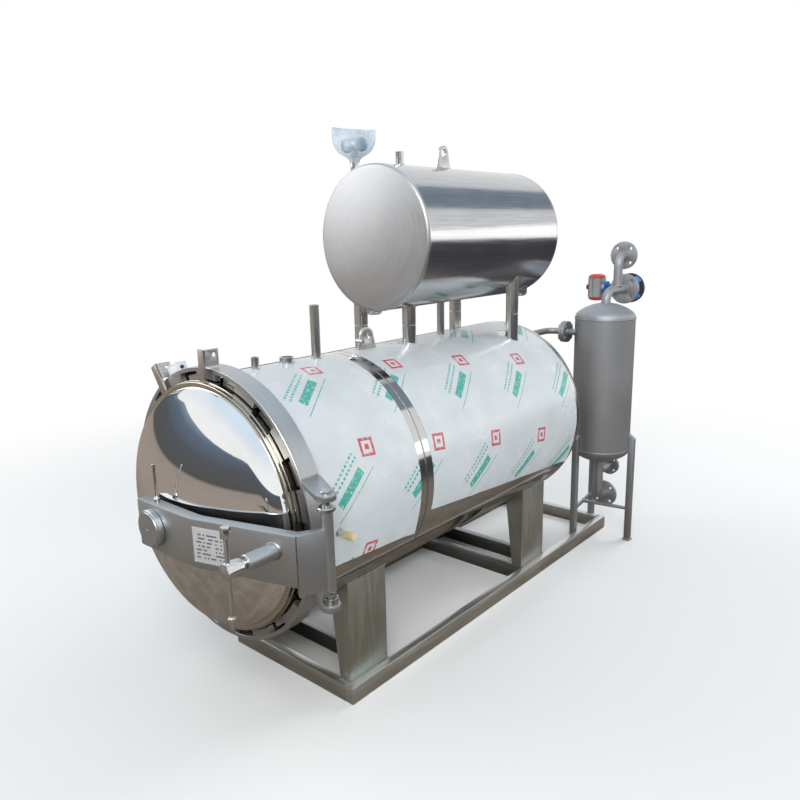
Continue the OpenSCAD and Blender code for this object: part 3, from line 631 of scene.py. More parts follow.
# Hinge: two thick lugs welded to the ring's side, an upright pin with a round head, stop collars and nuts.
# Lugs are sawn from satin plate; the pin, collars and nuts are turned and bright.
def place_of(low, high):
    """Where an upright round stands, and its radius, from its box."""
    return (low.x + high.x) / 2, (low.y + high.y) / 2, (high.x - low.x) / 2


def rod(r, low, high, low_cut=0.0, high_cut=0.0, bore=0.0):
    """Half outline of a round bar or bush, with its edges cut back."""
    foot = [(r - low_cut, low), (r, low + low_cut)] if low_cut else [(r, low)]
    top = [(r, high - high_cut), (r - high_cut, high)] if high_cut else [(r, high)]
    return [(bore, low)] + foot + top + [(bore, high)] + ([(bore, low)] if bore else [])


def hexagon(bm, r, low, high, edge, where=Matrix()):
    plate(bm, [[(r * cos(k * pi / 3), r * sin(k * pi / 3)) for k in range(6)]], low, high, edge, where)


satin = steel("satin_steel", (0.44, 0.46, 0.47), (0.52, 0.54, 0.555), (0.38, 0.5), 420, (1, 1, 1), 0.05)
bright = steel("bright_steel", (0.42, 0.42, 0.41), (0.62, 0.62, 0.6), (0.16, 0.28), 300, (1, 1, 0.15), 0.05)
pin_low, pin_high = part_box("hinge_pin")
hinge_x, hinge_y, head_r = place_of(pin_low, pin_high)
at_hinge = shift(hinge_x, hinge_y, 0)
eye_r, pin_r, sleeve_r, head_h = 0.032, 0.012, 0.019, 0.008
bm, welds = bmesh.new(), bmesh.new()
for low, high in lumps("hinge_lugs"):
    nose = arc(hinge_x, hinge_y, eye_r, -111.8, 36.9, 16)
    outline = [(low.x + 0.01, front + 0.004)] + nose + [(low.x + 0.028, rear - 0.004), (low.x + 0.01, rear - 0.004)]
    plate(bm, [outline], low.z, high.z, 0.003)
    for z in (low.z, high.z):
        x = sqrt(ring_r ** 2 - (z - axis_z) ** 2)
        bead(welds, [(x, front + 0.006, z), (x, rear - 0.006, z)], 0.003)
dress("hinge_lugs", bm, satin)
weld("hinge_welds", welds)
foot, top = pin_low.z, pin_high.z
dress("hinge_pin", turned(
    [(0, foot), (pin_r - 0.002, foot), (pin_r, foot + 0.002), (pin_r, top - head_h), (head_r, top - head_h),
     (head_r, top - 0.002), (head_r - 0.002, top), (0.005, top), (0.0045, top - 0.0015), (0, top - 0.0015)],
    at_hinge, 40), bright)
bm = bmesh.new()
bush, nut, collar = sorted(lumps("hinge_collars"), key=lambda box: box[0].z)
ribs, rib_depth = 4, 0.004
low, high = bush
bush_r, step = place_of(low, high)[2], (high.z - low.z) / ribs
rib_line = [(bush_r - (0.0 if k % 4 in (1, 2) else rib_depth), low.z + step * k / 4) for k in range(4 * ribs + 1)]
turn(bm, walled(rib_line, [(pin_r, z) for _, z in rib_line]), at_hinge, 40)
low, high = nut
hexagon(bm, place_of(low, high)[2], low.z, high.z, 0.002, at_hinge)
low, high = collar
turn(bm, rod(place_of(low, high)[2], low.z, high.z, 0.002, 0.003, pin_r), at_hinge, 40)
dress("hinge_collars", bm, bright)


# Swing arm: a box arm of satin plate, bent once, that carries the door in its middle; its rear face is painted dark
# as shade.
# A thicker plate closes its hinge end and hangs below it; a sleeve welded to it turns on the pin.
def route(points, bends, steps=6):
    """A line through points with its corners rounded; bends has a radius for each inner point."""
    points = [Vector(p).to_3d() for p in points]
    if not hasattr(bends, "__len__"):
        bends = [bends] * (len(points) - 2)
    path = [points[0]]
    for a, b, c, bend in zip(points, points[1:], points[2:], bends):
        into, out = (b - a).normalized(), (c - b).normalized()
        angle, pivot = into.angle(out), into.cross(out).normalized()
        begin = b - into * bend * tan(angle / 2)
        centre = begin + pivot.cross(into) * bend
        path += [centre + Matrix.Rotation(angle * k / steps, 3, pivot) @ (begin - centre) for k in range(steps + 1)]
    return path + [points[-1]]


arm_low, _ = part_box("door_arm")
arm_t, arm_h, end_drop, end_t = 0.045, 0.165, 0.027, 0.008
arm_front = arm_low.y
arm_bottom, arm_top = axis_z - arm_h / 2, axis_z + arm_h / 2
kink, corner = Vector((0.205, arm_front + 0.005)), Vector((0.58, front - 0.132))
tip = Vector((0.607, hinge_y - 0.012))
outer_line = route([(arm_low.x, arm_front), kink, corner - (corner - kink).normalized() * 0.004], 0.2, 8)
arm_rear = arm_front + arm_t
inner_line = route([(0.545, front - 0.1), (0.212, arm_rear + 0.004), (arm_low.x, arm_rear)], 0.16, 8)
outline = [(p.x, p.y) for p in outer_line] + [(tip.x - 0.006, tip.y), (0.588, hinge_y - 0.008)]
outline += [(p.x, p.y) for p in inner_line]
bm = bmesh.new()
plate(bm, [outline], arm_bottom, arm_top, 0.007)
end_way = (tip - corner).normalized()
inward = Vector((-end_way.y, end_way.x))
end_outline = [corner - end_way * 0.001, tip, tip + inward * end_t, corner + inward * (end_t + 0.004)]
plate(bm, [[tuple(p) for p in end_outline]], arm_bottom - end_drop, arm_top + 0.0015, 0.0022)
arm_steel = satin.copy()
arm_steel.name = "arm_steel"
tree = arm_steel.node_tree
colour = tree.nodes["Principled BSDF"].inputs["Base Color"]
# Faces that look backward get a near black tone: painted shade, so that the arm's back shows shaded where the dome
# mirrors it.
painted_rear_shade = Val(next(n for n in tree.nodes if n.type == "TEX_COORD").outputs["Normal"]).split()[1]
plain_colour = Val(colour.links[0].from_socket)
tree.links.new(painted_rear_shade.ease(0.5, 0.8).blend(plain_colour, (0.07, 0.068, 0.066)).socket, colour)
dress("door_arm", bm, arm_steel, "arm")
low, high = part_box("hinge_sleeve")
sleeve = turned(rod(sleeve_r, low.z, high.z, 0.0015, 0.0015, pin_r + 0.0005), at_hinge, 48)
dress("hinge_sleeve", sleeve, satin, "arm")
bm = bmesh.new()
for x, y, foot, top, size in ((tip.x + 0.001, tip.y + 0.002, arm_bottom - end_drop + 0.004, arm_top, 0.003),
                              (corner.x - 0.006, corner.y - 0.0005, arm_bottom, arm_top, 0.0022)):
    bead(bm, [(x, y, foot), (x, y, top)], size)
bead(bm, [(corner.x - 0.004, corner.y, arm_bottom - 0.0005), (0.56, front - 0.1, arm_bottom - 0.0005)], 0.003)
weld("arm_welds", bm, "arm")

# Boss and lubricator: a round cover over the door's pivot, with a centre mark left by the lathe,
# and a thin upright grease rod in a socket on the arm's top.
low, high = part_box("arm_boss")
boss_r, out = place_of(low, high)[2], -low.y
forward = shift(0, 0, axis_z) @ upright
boss_steel = spun("boss_steel", (0.42, 0.44, 0.45), (0.52, 0.54, 0.555), (0.36, 0.5), (0, axis_z), 0.06, 700)
dress("arm_boss", turned(
    [(boss_r, -high.y - 0.001), (boss_r, out - 0.006), (boss_r - 0.003, out - 0.003), (0.057, out - 0.003),
     (0.055, out), (0.004, out), (0.003, out - 0.002), (0, out - 0.003)], forward, 72),
    boss_steel, "arm")
low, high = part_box("lubricator")
x, y, socket_r = place_of(low, high)
foot, top, rod_r = low.z, high.z, 0.0045
dress("lubricator", turned(
    [(0, foot), (socket_r, foot), (socket_r, foot + 0.012), (socket_r - 0.003, foot + 0.016),
     (rod_r + 0.001, foot + 0.018), (rod_r, foot + 0.02), (rod_r, top - 0.012), (rod_r + 0.0015, top - 0.011),
     (rod_r + 0.0015, top - 0.002), (rod_r - 0.001, top), (0, top)], shift(x, y, 0), 24),
    bright, "arm")

# Plate on the arm: thin brushed stainless, riveted at its corners, with a fine pressed border.
# It is printed with rows of plain grey dashes that say nothing.
low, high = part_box("name_plate")
slope = atan2(corner.y - kink.y, corner.x - kink.x)
plate_w, plate_h, plate_face = 0.13, high.z - low.z, 0.0017
start_x, inset = 0.012, 0.006
mid_x = start_x + plate_w / 2
on_face = shift(kink.x, kink.y, axis_z) @ Matrix.Rotation(slope, 4, "Z") @ upright
corners = [(mid_x + a * plate_w / 2, b * plate_h / 2) for a, b in ((-1, -1), (1, -1), (1, 1), (-1, 1))]


def drawn_in(x, y, wide, high):
    """A corner of the plate, drawn in toward its middle."""
    return mid_x + (x - mid_x) * wide, y * high


bm = bmesh.new()
plate(bm, [corners], 0.0001, plate_face, 0.0004, on_face)
border = [drawn_in(x, y, 1 - 2 * inset / plate_w, 1 - 2 * inset / plate_h) for x, y in corners]
for ends in zip(border, border[1:] + border[:1]):
    sweep(bm, [on_face @ Vector((*end, plate_face)) for end in ends], 0.0006, 8)
for x, y in corners:
    rivet_at = on_face @ shift(*drawn_in(x, y, 0.955, 0.95), plate_face - 0.0001)
    turn(bm, [(0.0032, 0), (0.003, 0.001), (0.0018, 0.0019), (0, 0.0022)], rivet_at, 16)
place, shade = start("plate_print")
x, y, z = place.split()
row_h, dash_w = 0.0125, 0.0065
along = (x - kink.x) * cos(slope) + (y - kink.y) * sin(slope) - start_x
rise = z - axis_z + plate_h / 2
row, step = ((v / size).math("FLOOR", v / size) for v, size in ((rise, row_h), (along, dash_w)))
cell = row.node("CombineXYZ", {}, {0: row, 1: step})
chance = row.node("TexWhiteNoise", {"noise_dimensions": "2D"}, {"Vector": cell})
in_row = abs(rise % row_h - row_h / 2) < 0.0026
in_border = (abs(along - plate_w / 2) < plate_w / 2 - 0.013) * (abs(rise - plate_h / 2) < plate_h / 2 - 0.012)
dashes = in_row * in_border * (chance > 0.42)
brushed = place.noise(500, 4, 0.6, (1, 1, 0.04))
plate_tone = brushed.blend((0.5, 0.505, 0.51), (0.62, 0.625, 0.63))
plate_steel = shade(Base_Color=dashes.blend(plate_tone, (0.13, 0.13, 0.135)), Metallic=0.35,
                    Roughness=0.3 + 0.12 * brushed)
dress("name_plate", bm, plate_steel, "arm")

# Screw tube: a thick-walled tube welded on the arm's slanted face, open and dark at its mouth.
# Satin like the arm, with a rough weld bead all round its foot.
low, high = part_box("screw_tube")
tube_r, tube_bore = (high.x - low.x) / 2, 0.013
screw_at = Vector(((low.x + high.x) / 2, 0, (low.z + high.z) / 2))
screw = shift(*screw_at) @ spin(-90, "X")
face_y = kink.y + (screw_at.x - kink.x) * tan(slope)
mouth, foot = low.y, face_y + 0.012
dress("screw_tube", turned(
    [(tube_bore, mouth + 0.003), (tube_bore + 0.002, mouth), (tube_r - 0.003, mouth), (tube_r, mouth + 0.003),
     (tube_r, foot), (tube_bore, foot), (tube_bore, mouth + 0.003)], screw, 56), satin, "arm")
bm = bmesh.new()
bead(bm, [(screw_at.x + tube_r * cos(t), face_y + tube_r * cos(t) * tan(slope) - 0.0015, screw_at.z + tube_r * sin(t))
          for t in (tau * k / 40 for k in range(40))], 0.0038, True)
weld("screw_tube_weld", bm, "arm")

# Clamp handle: a hexagon hub on a round shank, and a tommy bar through it with a hexagon head above
# and a stop ring near its lower end. Polished, with a chrome shine.
chrome = steel("chrome_steel", (0.58, 0.58, 0.57), (0.76, 0.76, 0.75), (0.09, 0.2), 240, (1, 0.2, 1), 0.03)
low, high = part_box("handle_hub")
hub_r, hub_l, shank_r = (high.x - low.x) / 2, 0.058, 0.0128
bm = bmesh.new()
hexagon(bm, hub_r, low.y, low.y + hub_l, 0.006, screw)
turn(bm, rod(shank_r, low.y + hub_l - 0.002, high.y, 0, 0.002), screw, 40)
dress("handle_hub", bm, chrome, "handle")
low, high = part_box("tommy_bar")
x, y, knob_r = place_of(low, high)
longer_below, longer_above = 0.056, 0.008
foot, top = low.z - longer_below, high.z + longer_above
bar_r, stop_r, head_h, stop = 0.007, 0.0125, 0.034, foot + 0.027
bm = bmesh.new()
turn(bm, [(0, foot), (bar_r - 0.002, foot), (bar_r - 0.0008, foot + 0.0015), (bar_r - 0.0008, stop),
          (stop_r - 0.001, stop), (stop_r, stop + 0.001), (stop_r, stop + 0.008), (stop_r - 0.001, stop + 0.009),
          (bar_r - 0.0006, stop + 0.009), (bar_r, screw_at.z - 0.03), (bar_r, screw_at.z + 0.03),
          (bar_r + 0.0006, top - head_h), (0, top - head_h)], shift(x, y, 0), 32)
hexagon(bm, knob_r, top - head_h, top, 0.0035, shift(x, y, 0))
dress("tommy_bar", bm, chrome, "handle")

# Door: a spun stainless dome polished to a mirror, seamed into a turned rim with two bright bands.
# Its fourteen teeth lock behind the ring's teeth; a stud in its middle turns in the arm.
dome_low, dome_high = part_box("door_dome")
rim_low, rim_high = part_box("door_rim")
teeth_low, teeth_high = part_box("door_teeth")
dome_r = (dome_high.x - dome_low.x) / 2
dome_depth, dome_knuckle, dome_t, stud_r = 0.196, 0.1, 0.006, 0.022
dome_base = -dome_high.y
crown = dome_base + dome_depth
place, shade = start("mirror_dome")
swell = place.noise(3.0, 2, 0.5)
smear = place.noise(5, 5, 0.65)
swirl = place.noise(120, 3, 0.5)
mirror_dome = shade(Base_Color=smear.ease(0.4, 0.8).blend((0.86, 0.865, 0.87), (0.78, 0.78, 0.775)), Metallic=1.0,
                    Roughness=0.03 + 0.05 * smear.ease(0.45, 0.85) + 0.02 * swirl,
                    Normal=bump(swell + 0.002 * swirl, 0.07, 0.012))
bm = turned(dished(dome_r, dome_t, dome_knuckle, dome_depth, dome_base, steps=24), forward, 160)
turn(bm, [(0, crown - 0.008), (stud_r + 0.008, crown - 0.008), (stud_r + 0.002, crown + 0.002),
          (stud_r, crown + 0.004), (stud_r, -arm_front - 0.004), (0, -arm_front - 0.004)], forward, 48)
leave_lamps_out(dress("door_dome", bm, mirror_dome, "door"))
rim_steel = spun("rim_steel", (0.5, 0.47, 0.4), (0.68, 0.65, 0.57), (0.1, 0.2), (0, axis_z), 0.04, 500)
root_r, rim_in = rim_high.x, dome_r - 0.014
lip_top, back = -rim_low.y, -rim_high.y
band_r, band_top, inner_top, soft = tooth_r - 0.005, lip_top + 0.002, lip_top + 0.017, 0.0025
outer_band = [(band_r, lip_top - 0.034)] + arc(band_r - soft, band_top - soft, soft, 0, 90, 5)
inner_band = arc(root_r - soft, inner_top - soft, soft, 0, 90, 5)
dress("door_rim", turned(
    [(rim_in, back), (root_r, back), (root_r, lip_top - 0.036)] + outer_band +
    [(root_r + 0.001, band_top), (root_r - 0.001, band_top - 0.002), (root_r - 0.001, band_top + 0.0005),
     (root_r, band_top + 0.0015)] + inner_band +
    [(dome_r - 0.003, inner_top), (dome_r - 0.0075, inner_top - 0.002), (rim_in, dome_base - 0.002), (rim_in, back)],
    forward, 192), rim_steel, "door")
tip_r, tooth_root, half_tooth = teeth_high.x, root_r - 0.001, 10.8 / 2
tooth_front, tooth_back = -teeth_low.y, -teeth_high.y
bm = bmesh.new()
for i in range(teeth):
    turn(bm, [(tooth_root, tooth_back), (tip_r - chamfer, tooth_back), (tip_r, tooth_back + chamfer),
              (tip_r, tooth_front - chamfer), (tip_r - chamfer, tooth_front), (tooth_root, tooth_front),
              (tooth_root, tooth_back)], forward, 8, i * pitch - half_tooth, i * pitch + half_tooth)
dress("door_teeth", bm, tooth_steel, "door")

# Door lugs: two flat bars welded to the rim that stand out past the ring, each with a drilled plate
# turned back over the ring. Plain hot-rolled stainless with a warm, unpolished skin.
crosswise = Matrix(((0, 0, 1, 0), (1, 0, 0, 0), (0, 1, 0, 0), (0, 0, 0, 1)))
bar_steel = steel("bar_steel", (0.4, 0.365, 0.335), (0.54, 0.5, 0.46), (0.34, 0.5), 120, (1, 1, 0.1), 0.08)
tab_steel = steel("tab_steel", (0.46, 0.46, 0.455), (0.6, 0.6, 0.59), (0.34, 0.5), 120, (1, 0.1, 1), 0.08)
lug_angles = (89, 122)
bar_w, bar_t, bar_l, tab_t, tab_l, tab_h = 0.032, 0.0098, 0.12, 0.005, 0.062, 0.058
bar_front, base, tab_low = -dome_base - 0.024, root_r - 0.008, ring_r + 0.006
tab = [(bar_front + y, tab_low + z) for y, z in ((0.001, 0), (tab_l, 0), (tab_l, tab_h), (0.001, tab_h))]
hole = arc(-dome_base + 0.02, ring_r + 0.044, 0.007, 0, 345, 23)
bars, tabs, welds = bmesh.new(), bmesh.new(), bmesh.new()
for angle in lug_angles:
    at_lug = shift(0, 0, axis_z) @ spin(90 - angle, "Y")
    block(bars, (-bar_w / 2, bar_front, base), (bar_w / 2, bar_front + bar_t, base + bar_l), 0.0016, at_lug)
    plate(tabs, [tab, hole], bar_w / 2 - tab_t, bar_w / 2, 0.0012, at_lug @ crosswise)
    bead(welds, [at_lug @ Vector((x, bar_front + bar_t, base + 0.006)) for x in (-bar_w / 2, bar_w / 2)], 0.003)
dress("door_lugs", bars, bar_steel, "door")
piece("door_lug_tabs", tabs, tab_steel, "door")
weld("door_lug_welds", welds, "door")

# Protective film: thin white plastic still stuck on both courses, left off at the seam and along the top.
# It is printed with plain bars, dashes and diamonds in slanting rows, and lifts a little at one corner.
place, shade = start("white_film")
x, y, z = place.split()
around = z.math("ARCTAN2", z - axis_z, abs(x)) * shell_r
lean, row_h, cell_w = radians(52), 0.285, 0.5
up_row = around * cos(lean) + y * sin(lean)
over_row = (y * cos(lean) - around * sin(lean)) / row_h
odd = over_row.math("FLOOR", over_row) % 2
u = ((up_row / cell_w + odd * 0.5) % 1.0 - 0.5) * cell_w
v = (over_row % 1.0 - 0.5) * row_h
bar = (abs(u) < 0.078) * (abs(v - 0.02) < 0.017)
dashes = ((abs(v + 0.024) < 0.0045) + (abs(v + 0.044) < 0.0045)) * (abs(u) < 0.1) * ((u * 55 % 1.0) < 0.62)
rule = (abs(v - 0.058) < 0.0018) * (abs(u) < 0.12)
from_mark = abs(u - 0.165) + abs(v - 0.002)
mark = (from_mark < 0.047) * (from_mark > 0.031) + (from_mark < 0.014)
worn = place.noise(90, 3, 0.6).ease(0.25, 0.5)
haze = place.noise(6, 4, 0.6)
creases = place.noise(26, 2, 0.5, (1, 0.25, 1))
sheet_white = haze.ease(0.3, 0.75).blend((0.55, 0.595, 0.615), (0.63, 0.66, 0.68))
printed = ((bar + dashes + rule) * worn * 0.92).blend(sheet_white, (0.012, 0.36, 0.29))
printed = (mark * worn * 0.9).blend(printed, (0.5, 0.022, 0.04))
patch_u = (around - radians(70.5) * shell_r) / 0.034
patch_v = (y - 1.312) / 0.05
film_finish = shade(Base_Color=printed, Roughness=0.17 + 0.16 * haze, Specular_IOR_Level=0.5,
                    Alpha=patch_u * patch_u + patch_v * patch_v > 1.0,
                    Normal=bump(creases + 0.25 * haze, 0.09, 0.02))


def film(name, first_y, last_y, low, high, mirrored):
    """A sheet of film between two y's and two edges; low has its angle at either end."""
    rows, columns = 40, 56
    bm = bmesh.new()
    layers = []
    for r in (shell_r + 0.0009, shell_r + 0.0003):
        grid = []
        for i in range(rows + 1):
            t = i / rows
            ragged = 0.0012 * noise.noise((i * 0.9, first_y * 7, 0.5))
            bottom = low[0] + (low[1] - low[0]) * t + degrees(ragged / shell_r) * 2
            line = []
            for j in range(columns + 1):
                at = bottom + (high - bottom) * j / columns
                away = hypot((1 - t) * (last_y - first_y), radians(at - bottom) * shell_r)
                out = r + 0.006 * max(0.0, 1 - away / 0.09) ** 2
                a = radians(180 - at if mirrored else at)
                line.append(bm.verts.new((out * cos(a), first_y + (last_y - first_y) * t, axis_z + out * sin(a))))
            grid.append(line)
        layers.append(grid)
    strips = [pair for grid in layers for pair in zip(grid, grid[1:])]
    strips += [[grid[end] for grid in layers] for end in (0, -1)]
    strips += [[[line[end] for line in grid] for grid in layers] for end in (0, -1)]
    for a, b in strips:
        for j in range(len(a) - 1):
            bm.faces.new((a[j], a[j + 1], b[j + 1], b[j]))
    bmesh.ops.recalc_face_normals(bm, faces=bm.faces[:])
    piece(name, bm, film_finish)


seam_y, shell_end = shell_low.y, shell_high.y
for side, mirrored, top_edge in (("right", False, 94.5), ("left", True, 76)):
    film("film_front_" + side, rear + 0.006, seam_y - 0.039, (-20.6, -25.2), top_edge, mirrored)
    film("film_rear_" + side, seam_y + 0.038, shell_end - 0.012, (-15.0, -29.6), top_edge, mirrored)


# Interlock box: a small moulded white switch housing on the ring, with a lid, a gland and plain coloured buttons.
# The plastic is weathered a little, and a groove parts the lid from the box.
def plastic(name, dark, light, rough=0.35, relief=0.08):
    """A moulded plastic: slightly mottled, with a fine skin."""
    place, shade = start(name)
    tone = place.noise(25, 4, 0.6)
    return shade(Base_Color=tone.ease(0.3, 0.75).blend(dark, light), Roughness=rough + 0.18 * tone,
                 Normal=bump(place.noise(450, 3), relief, 0.0005))


place, shade = start("white_plastic")
grime = place.noise(18, 5, 0.65)
white_plastic = shade(Base_Color=grime.ease(0.45, 0.8).blend((0.74, 0.75, 0.75), (0.55, 0.55, 0.53)),
                      Roughness=0.36 + 0.2 * grime, Normal=bump(place.noise(500, 3), 0.1, 0.0004))
blue_plastic = plastic("blue_plastic", (0.012, 0.03, 0.14), (0.02, 0.055, 0.2))
brown_plastic = plastic("brown_plastic", (0.11, 0.05, 0.025), (0.19, 0.09, 0.045))
box_w, box_l, box_h, box_angle = 0.056, 0.048, 0.034, 114.5
at_box = shift(0, 0, axis_z) @ spin(90 - box_angle, "Y") @ shift(-box_w / 2, front + 0.004, ring_r + 0.0002)
lid, groove = box_h - 0.009, 0.0015
bm, blue, brown = bmesh.new(), bmesh.new(), bmesh.new()
for inset, foot, top, edge in ((0, 0, lid - 0.0006, 0.003), (groove, lid - 0.003, lid + 0.003, 0.0008),
                               (0, lid + 0.0006, box_h, 0.003)):
    block(bm, (inset, inset, foot), (box_w - inset, box_l - inset, top), edge, at_box)
dress("interlock_box", bm, white_plastic)
for buttons, x, y in ((blue, 0.014, 0.015), (blue, 0.04, 0.015), (brown, 0.027, 0.034)):
    turn(buttons, [(0.0048, -0.001), (0.0048, 0.0012), (0.0038, 0.002), (0, 0.0024)], at_box @ shift(x, y, box_h), 24)
turn(blue, [(0.007, -0.001), (0.007, 0.002), (0.0045, 0.0028), (0.0045, 0.009), (0, 0.009)],
     at_box @ shift(box_w, box_l / 2, 0.013) @ spin(90, "Y"), 24)
piece("interlock_buttons", blue, blue_plastic)
piece("interlock_brown_button", brown, brown_plastic)


# Stubs on the vessel: a small nipple, a flat socket and a tall open pipe, cut to the shell and welded on.
# Beside them a lifting lug of thick plate, and a side socket closed by a pale plastic transport cap.
def saddle(x, y, r, axis, radius, sign=1, count=40):
    """The line where an upright pipe meets a lengthwise cylinder."""
    spots = [(x + r * cos(t), y + r * sin(t)) for t in (tau * k / count for k in range(count))]
    return [(a, b, axis + sign * sqrt(radius ** 2 - a ** 2)) for a, b in spots]


def stub(bm, welds, x, y, r, wall, top, axis, radius, rim=0.001):
    """An open pipe that stands on a lengthwise cylinder, with a bead round its foot."""
    foot = axis + sqrt(radius ** 2 - (abs(x) + r) ** 2) - 0.002
    turn(bm, [(r - wall, foot), (r, foot), (r, top - rim), (r - rim, top), (r - wall + rim, top),
              (r - wall, top - rim), (r - wall, foot)], shift(x, y, 0), 40)
    bead(welds, saddle(x, y, r, axis, radius), 0.0028, True)


def lug(bm, w, h, t, eye, where):
    """A lifting lug: a tapering plate with a round head and an eye."""
    round_r = w * 0.34
    outline = [(-w / 2, 0), (w / 2, 0)] + arc(0, h - round_r, round_r, 0, 180, 24)
    plate(bm, [outline, arc(0, h - round_r, eye / 2, 0, 350, 35)], -t / 2, t / 2, 0.0015, where @ crosswise)


def knurled(r, cut, count):
    """The outline of a ribbed grip."""
    rim = [(r - cut * (k % 2), tau * k / count) for k in range(count)]
    return [(a * cos(t), a * sin(t)) for a, t in rim]


pipe_steel = steel("pipe_steel", (0.62, 0.62, 0.61), (0.76, 0.76, 0.75), (0.16, 0.26), 200, (1, 1, 0.05), 0.02)
lug_steel = steel("lug_steel", (0.48, 0.48, 0.475), (0.63, 0.63, 0.62), (0.28, 0.42), 90, (1, 0.1, 1), 0.07)
bm, welds = bmesh.new(), bmesh.new()
for (low, high), wall in zip(lumps("vessel_nozzles"), (0.003, 0.006, 0.003)):
    stub(bm, welds, *place_of(low, high), wall, high.z, axis_z, shell_r)
dress("vessel_nozzles", bm, pipe_steel)
low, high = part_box("vessel_lifting_lug")
lug_x, lug_y, lug_t, lug_sunk = 0.015, (low.y + high.y) / 2, 0.012, 0.006
lug_foot = axis_z + shell_r - lug_sunk
bm = bmesh.new()
lug(bm, 0.11, 0.096, lug_t, 0.036, shift(lug_x, lug_y, lug_foot))
turn(bm, rod(0.011, low.x, high.x, 0.0015, 0.0015), shift(0, lug_y - 0.034, lug_foot + 0.04) @ spin(90, "Y"), 28)
for x in (lug_x - lug_t / 2, lug_x + lug_t / 2):
    z = axis_z + sqrt(shell_r ** 2 - x ** 2)
    bead(welds, [(x, lug_y - 0.052, z), (x, lug_y + 0.052, z)], 0.0032)
dress("vessel_lifting_lug", bm, lug_steel)
low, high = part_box("side_nozzle_cap")
cap_y, cap_z, cap_r = (low.y + high.y) / 2, (low.z + high.z) / 2, (high.z - low.z) / 2
at_cap = shift(0, cap_y, cap_z) @ spin(90, "Y")
out, socket_end, socket_r = high.x, high.x - 0.046, cap_r - 0.003
bm = bmesh.new()
plate(bm, [knurled(cap_r, 0.0012, 40)], socket_end, out - 0.014, 0.0, at_cap)
turn(bm, [(cap_r - 0.002, out - 0.015), (cap_r - 0.002, out - 0.005), (cap_r - 0.004, out - 0.001),
          (cap_r - 0.007, out), (0, out - 0.0005)], at_cap, 40)
dress("side_nozzle_cap", bm, plastic("cap_yellow", (0.6, 0.5, 0.27), (0.74, 0.65, 0.4), 0.4))
piece("side_socket", turned(rod(socket_r, low.x, socket_end + 0.002), at_cap, 36), pipe_steel)
bead(welds, [(sqrt(shell_r ** 2 - (z - axis_z) ** 2), y, z) for y, z in arc(cap_y, cap_z, socket_r, 0, 350, 35)],
     0.0026, True)
weld("vessel_top_welds", welds)

# Upper tank: a welded drum of satin stainless, rolled along its length, with shallow spun heads.
# The seams at both ends are ground to narrow bright bands.
low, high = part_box("tank_shell")
tank_r, tank_z = (high.x - low.x) / 2, (high.z + low.z) / 2
tank_t, tank_knuckle, tank_ends = 0.003, 0.014, (low.y, high.y)
at_tank = shift(0, 0, tank_z) @ spin(-90, "X")
tank_steel = steel("tank_steel", (0.46, 0.465, 0.475), (0.6, 0.605, 0.61), (0.13, 0.21), 170, (1, 0.03, 1), 0.05, 1.8)
head_steel = spun("head_steel", (0.44, 0.445, 0.455), (0.56, 0.565, 0.57), (0.4, 0.52), (0, tank_z), 0.3, 260)
seam_steel = spun("tank_seam", (0.5, 0.5, 0.49), (0.68, 0.68, 0.66), (0.16, 0.28), (0, tank_z), 0.1, 600)
dress("tank_shell", turned(drum(tank_r, tank_t, *tank_ends), at_tank, 144), tank_steel)
for node, sign in (("tank_front_head", -1), ("tank_rear_head", 1)):
    low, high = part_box(node)
    rim = high.y if sign < 0 else low.y
    end = turned(dished(tank_r, tank_t, tank_knuckle, high.y - low.y, rim, sign, 10), at_tank, 128)
    dress(node, end, head_steel)
bm = bmesh.new()
for y in tank_ends:
    turn(bm, ridge(tank_r, y, 0.005, 0.0006, 0.0013), at_tank, 144)
piece("tank_seams", bm, seam_steel)

# Tank legs: four polished pipes cut to both rounds and welded, each joined half way by a fine seam.
# Between them a thinner drain pipe, and two round-bottomed bosses under the tank.
leg_mirror = polished("leg_mirror", (0.82, 0.82, 0.81), 0.12, 0.01, (1, 1, 0.05))
leg_seam = (axis_z + shell_r + tank_z - tank_r) / 2
bm, pipes, welds = bmesh.new(), bmesh.new(), bmesh.new()


def strut(bm, x, y, r, groove=()):
    """A pipe from the vessel's top to the tank's belly, with beads at both ends."""
    foot = axis_z + sqrt(shell_r ** 2 - (abs(x) + r) ** 2) - 0.002
    top = tank_z - sqrt(tank_r ** 2 - (abs(x) + r) ** 2) + 0.002
    turn(bm, [(0, foot), (r, foot)] + [(r - cut, z) for cut, z in groove] + [(r, top), (0, top)], shift(x, y, 0), 48)
    bead(welds, saddle(x, y, r, axis_z, shell_r), 0.0034, True)
    bead(welds, saddle(x, y, r, tank_z, tank_r, -1), 0.0034, True)


for low, high in lumps("tank_legs"):
    strut(bm, *place_of(low, high), [(0, leg_seam - 0.0022), (0.0014, leg_seam - 0.0008), (0.0014, leg_seam + 0.0008),
                                     (0, leg_seam + 0.0022)])
dress("tank_legs", bm, leg_mirror)
for low, high in lumps("tank_drain_pipe"):
    x, y, r = place_of(low, high)
    if r < 0.02:
        strut(pipes, x, y, r)
    else:
        belly = tank_z - sqrt(tank_r ** 2 - x ** 2)
        turn(pipes, [(0, -0.03), (0.018, -0.0297), (0.025, -0.028), (0.031, -0.0235), (0.0345, -0.0175),
                     (0.036, -0.011), (0.036, 0.008), (0, 0.008)], shift(x, y, belly), 48)
        bead(welds, saddle(x, y, r, tank_z, tank_r, -1), 0.003, True)
dress("tank_drain_pipe", pipes, pipe_steel)
weld("tank_leg_welds", welds)


# Tank top: a lifting lug, an open vent stub, and the riser of a small air-driven valve with a side nipple.
# The valve's body is pale aluminium, and dark blue caps close its two ends.
def facing(spot, way, twist=0.0):
    """The matrix that puts a shape drawn along +Z at a spot, pointing along a way."""
    return shift(*spot) @ Vector(way).to_track_quat("Z", "Y").to_matrix().to_4x4() @ spin(twist, "Z")


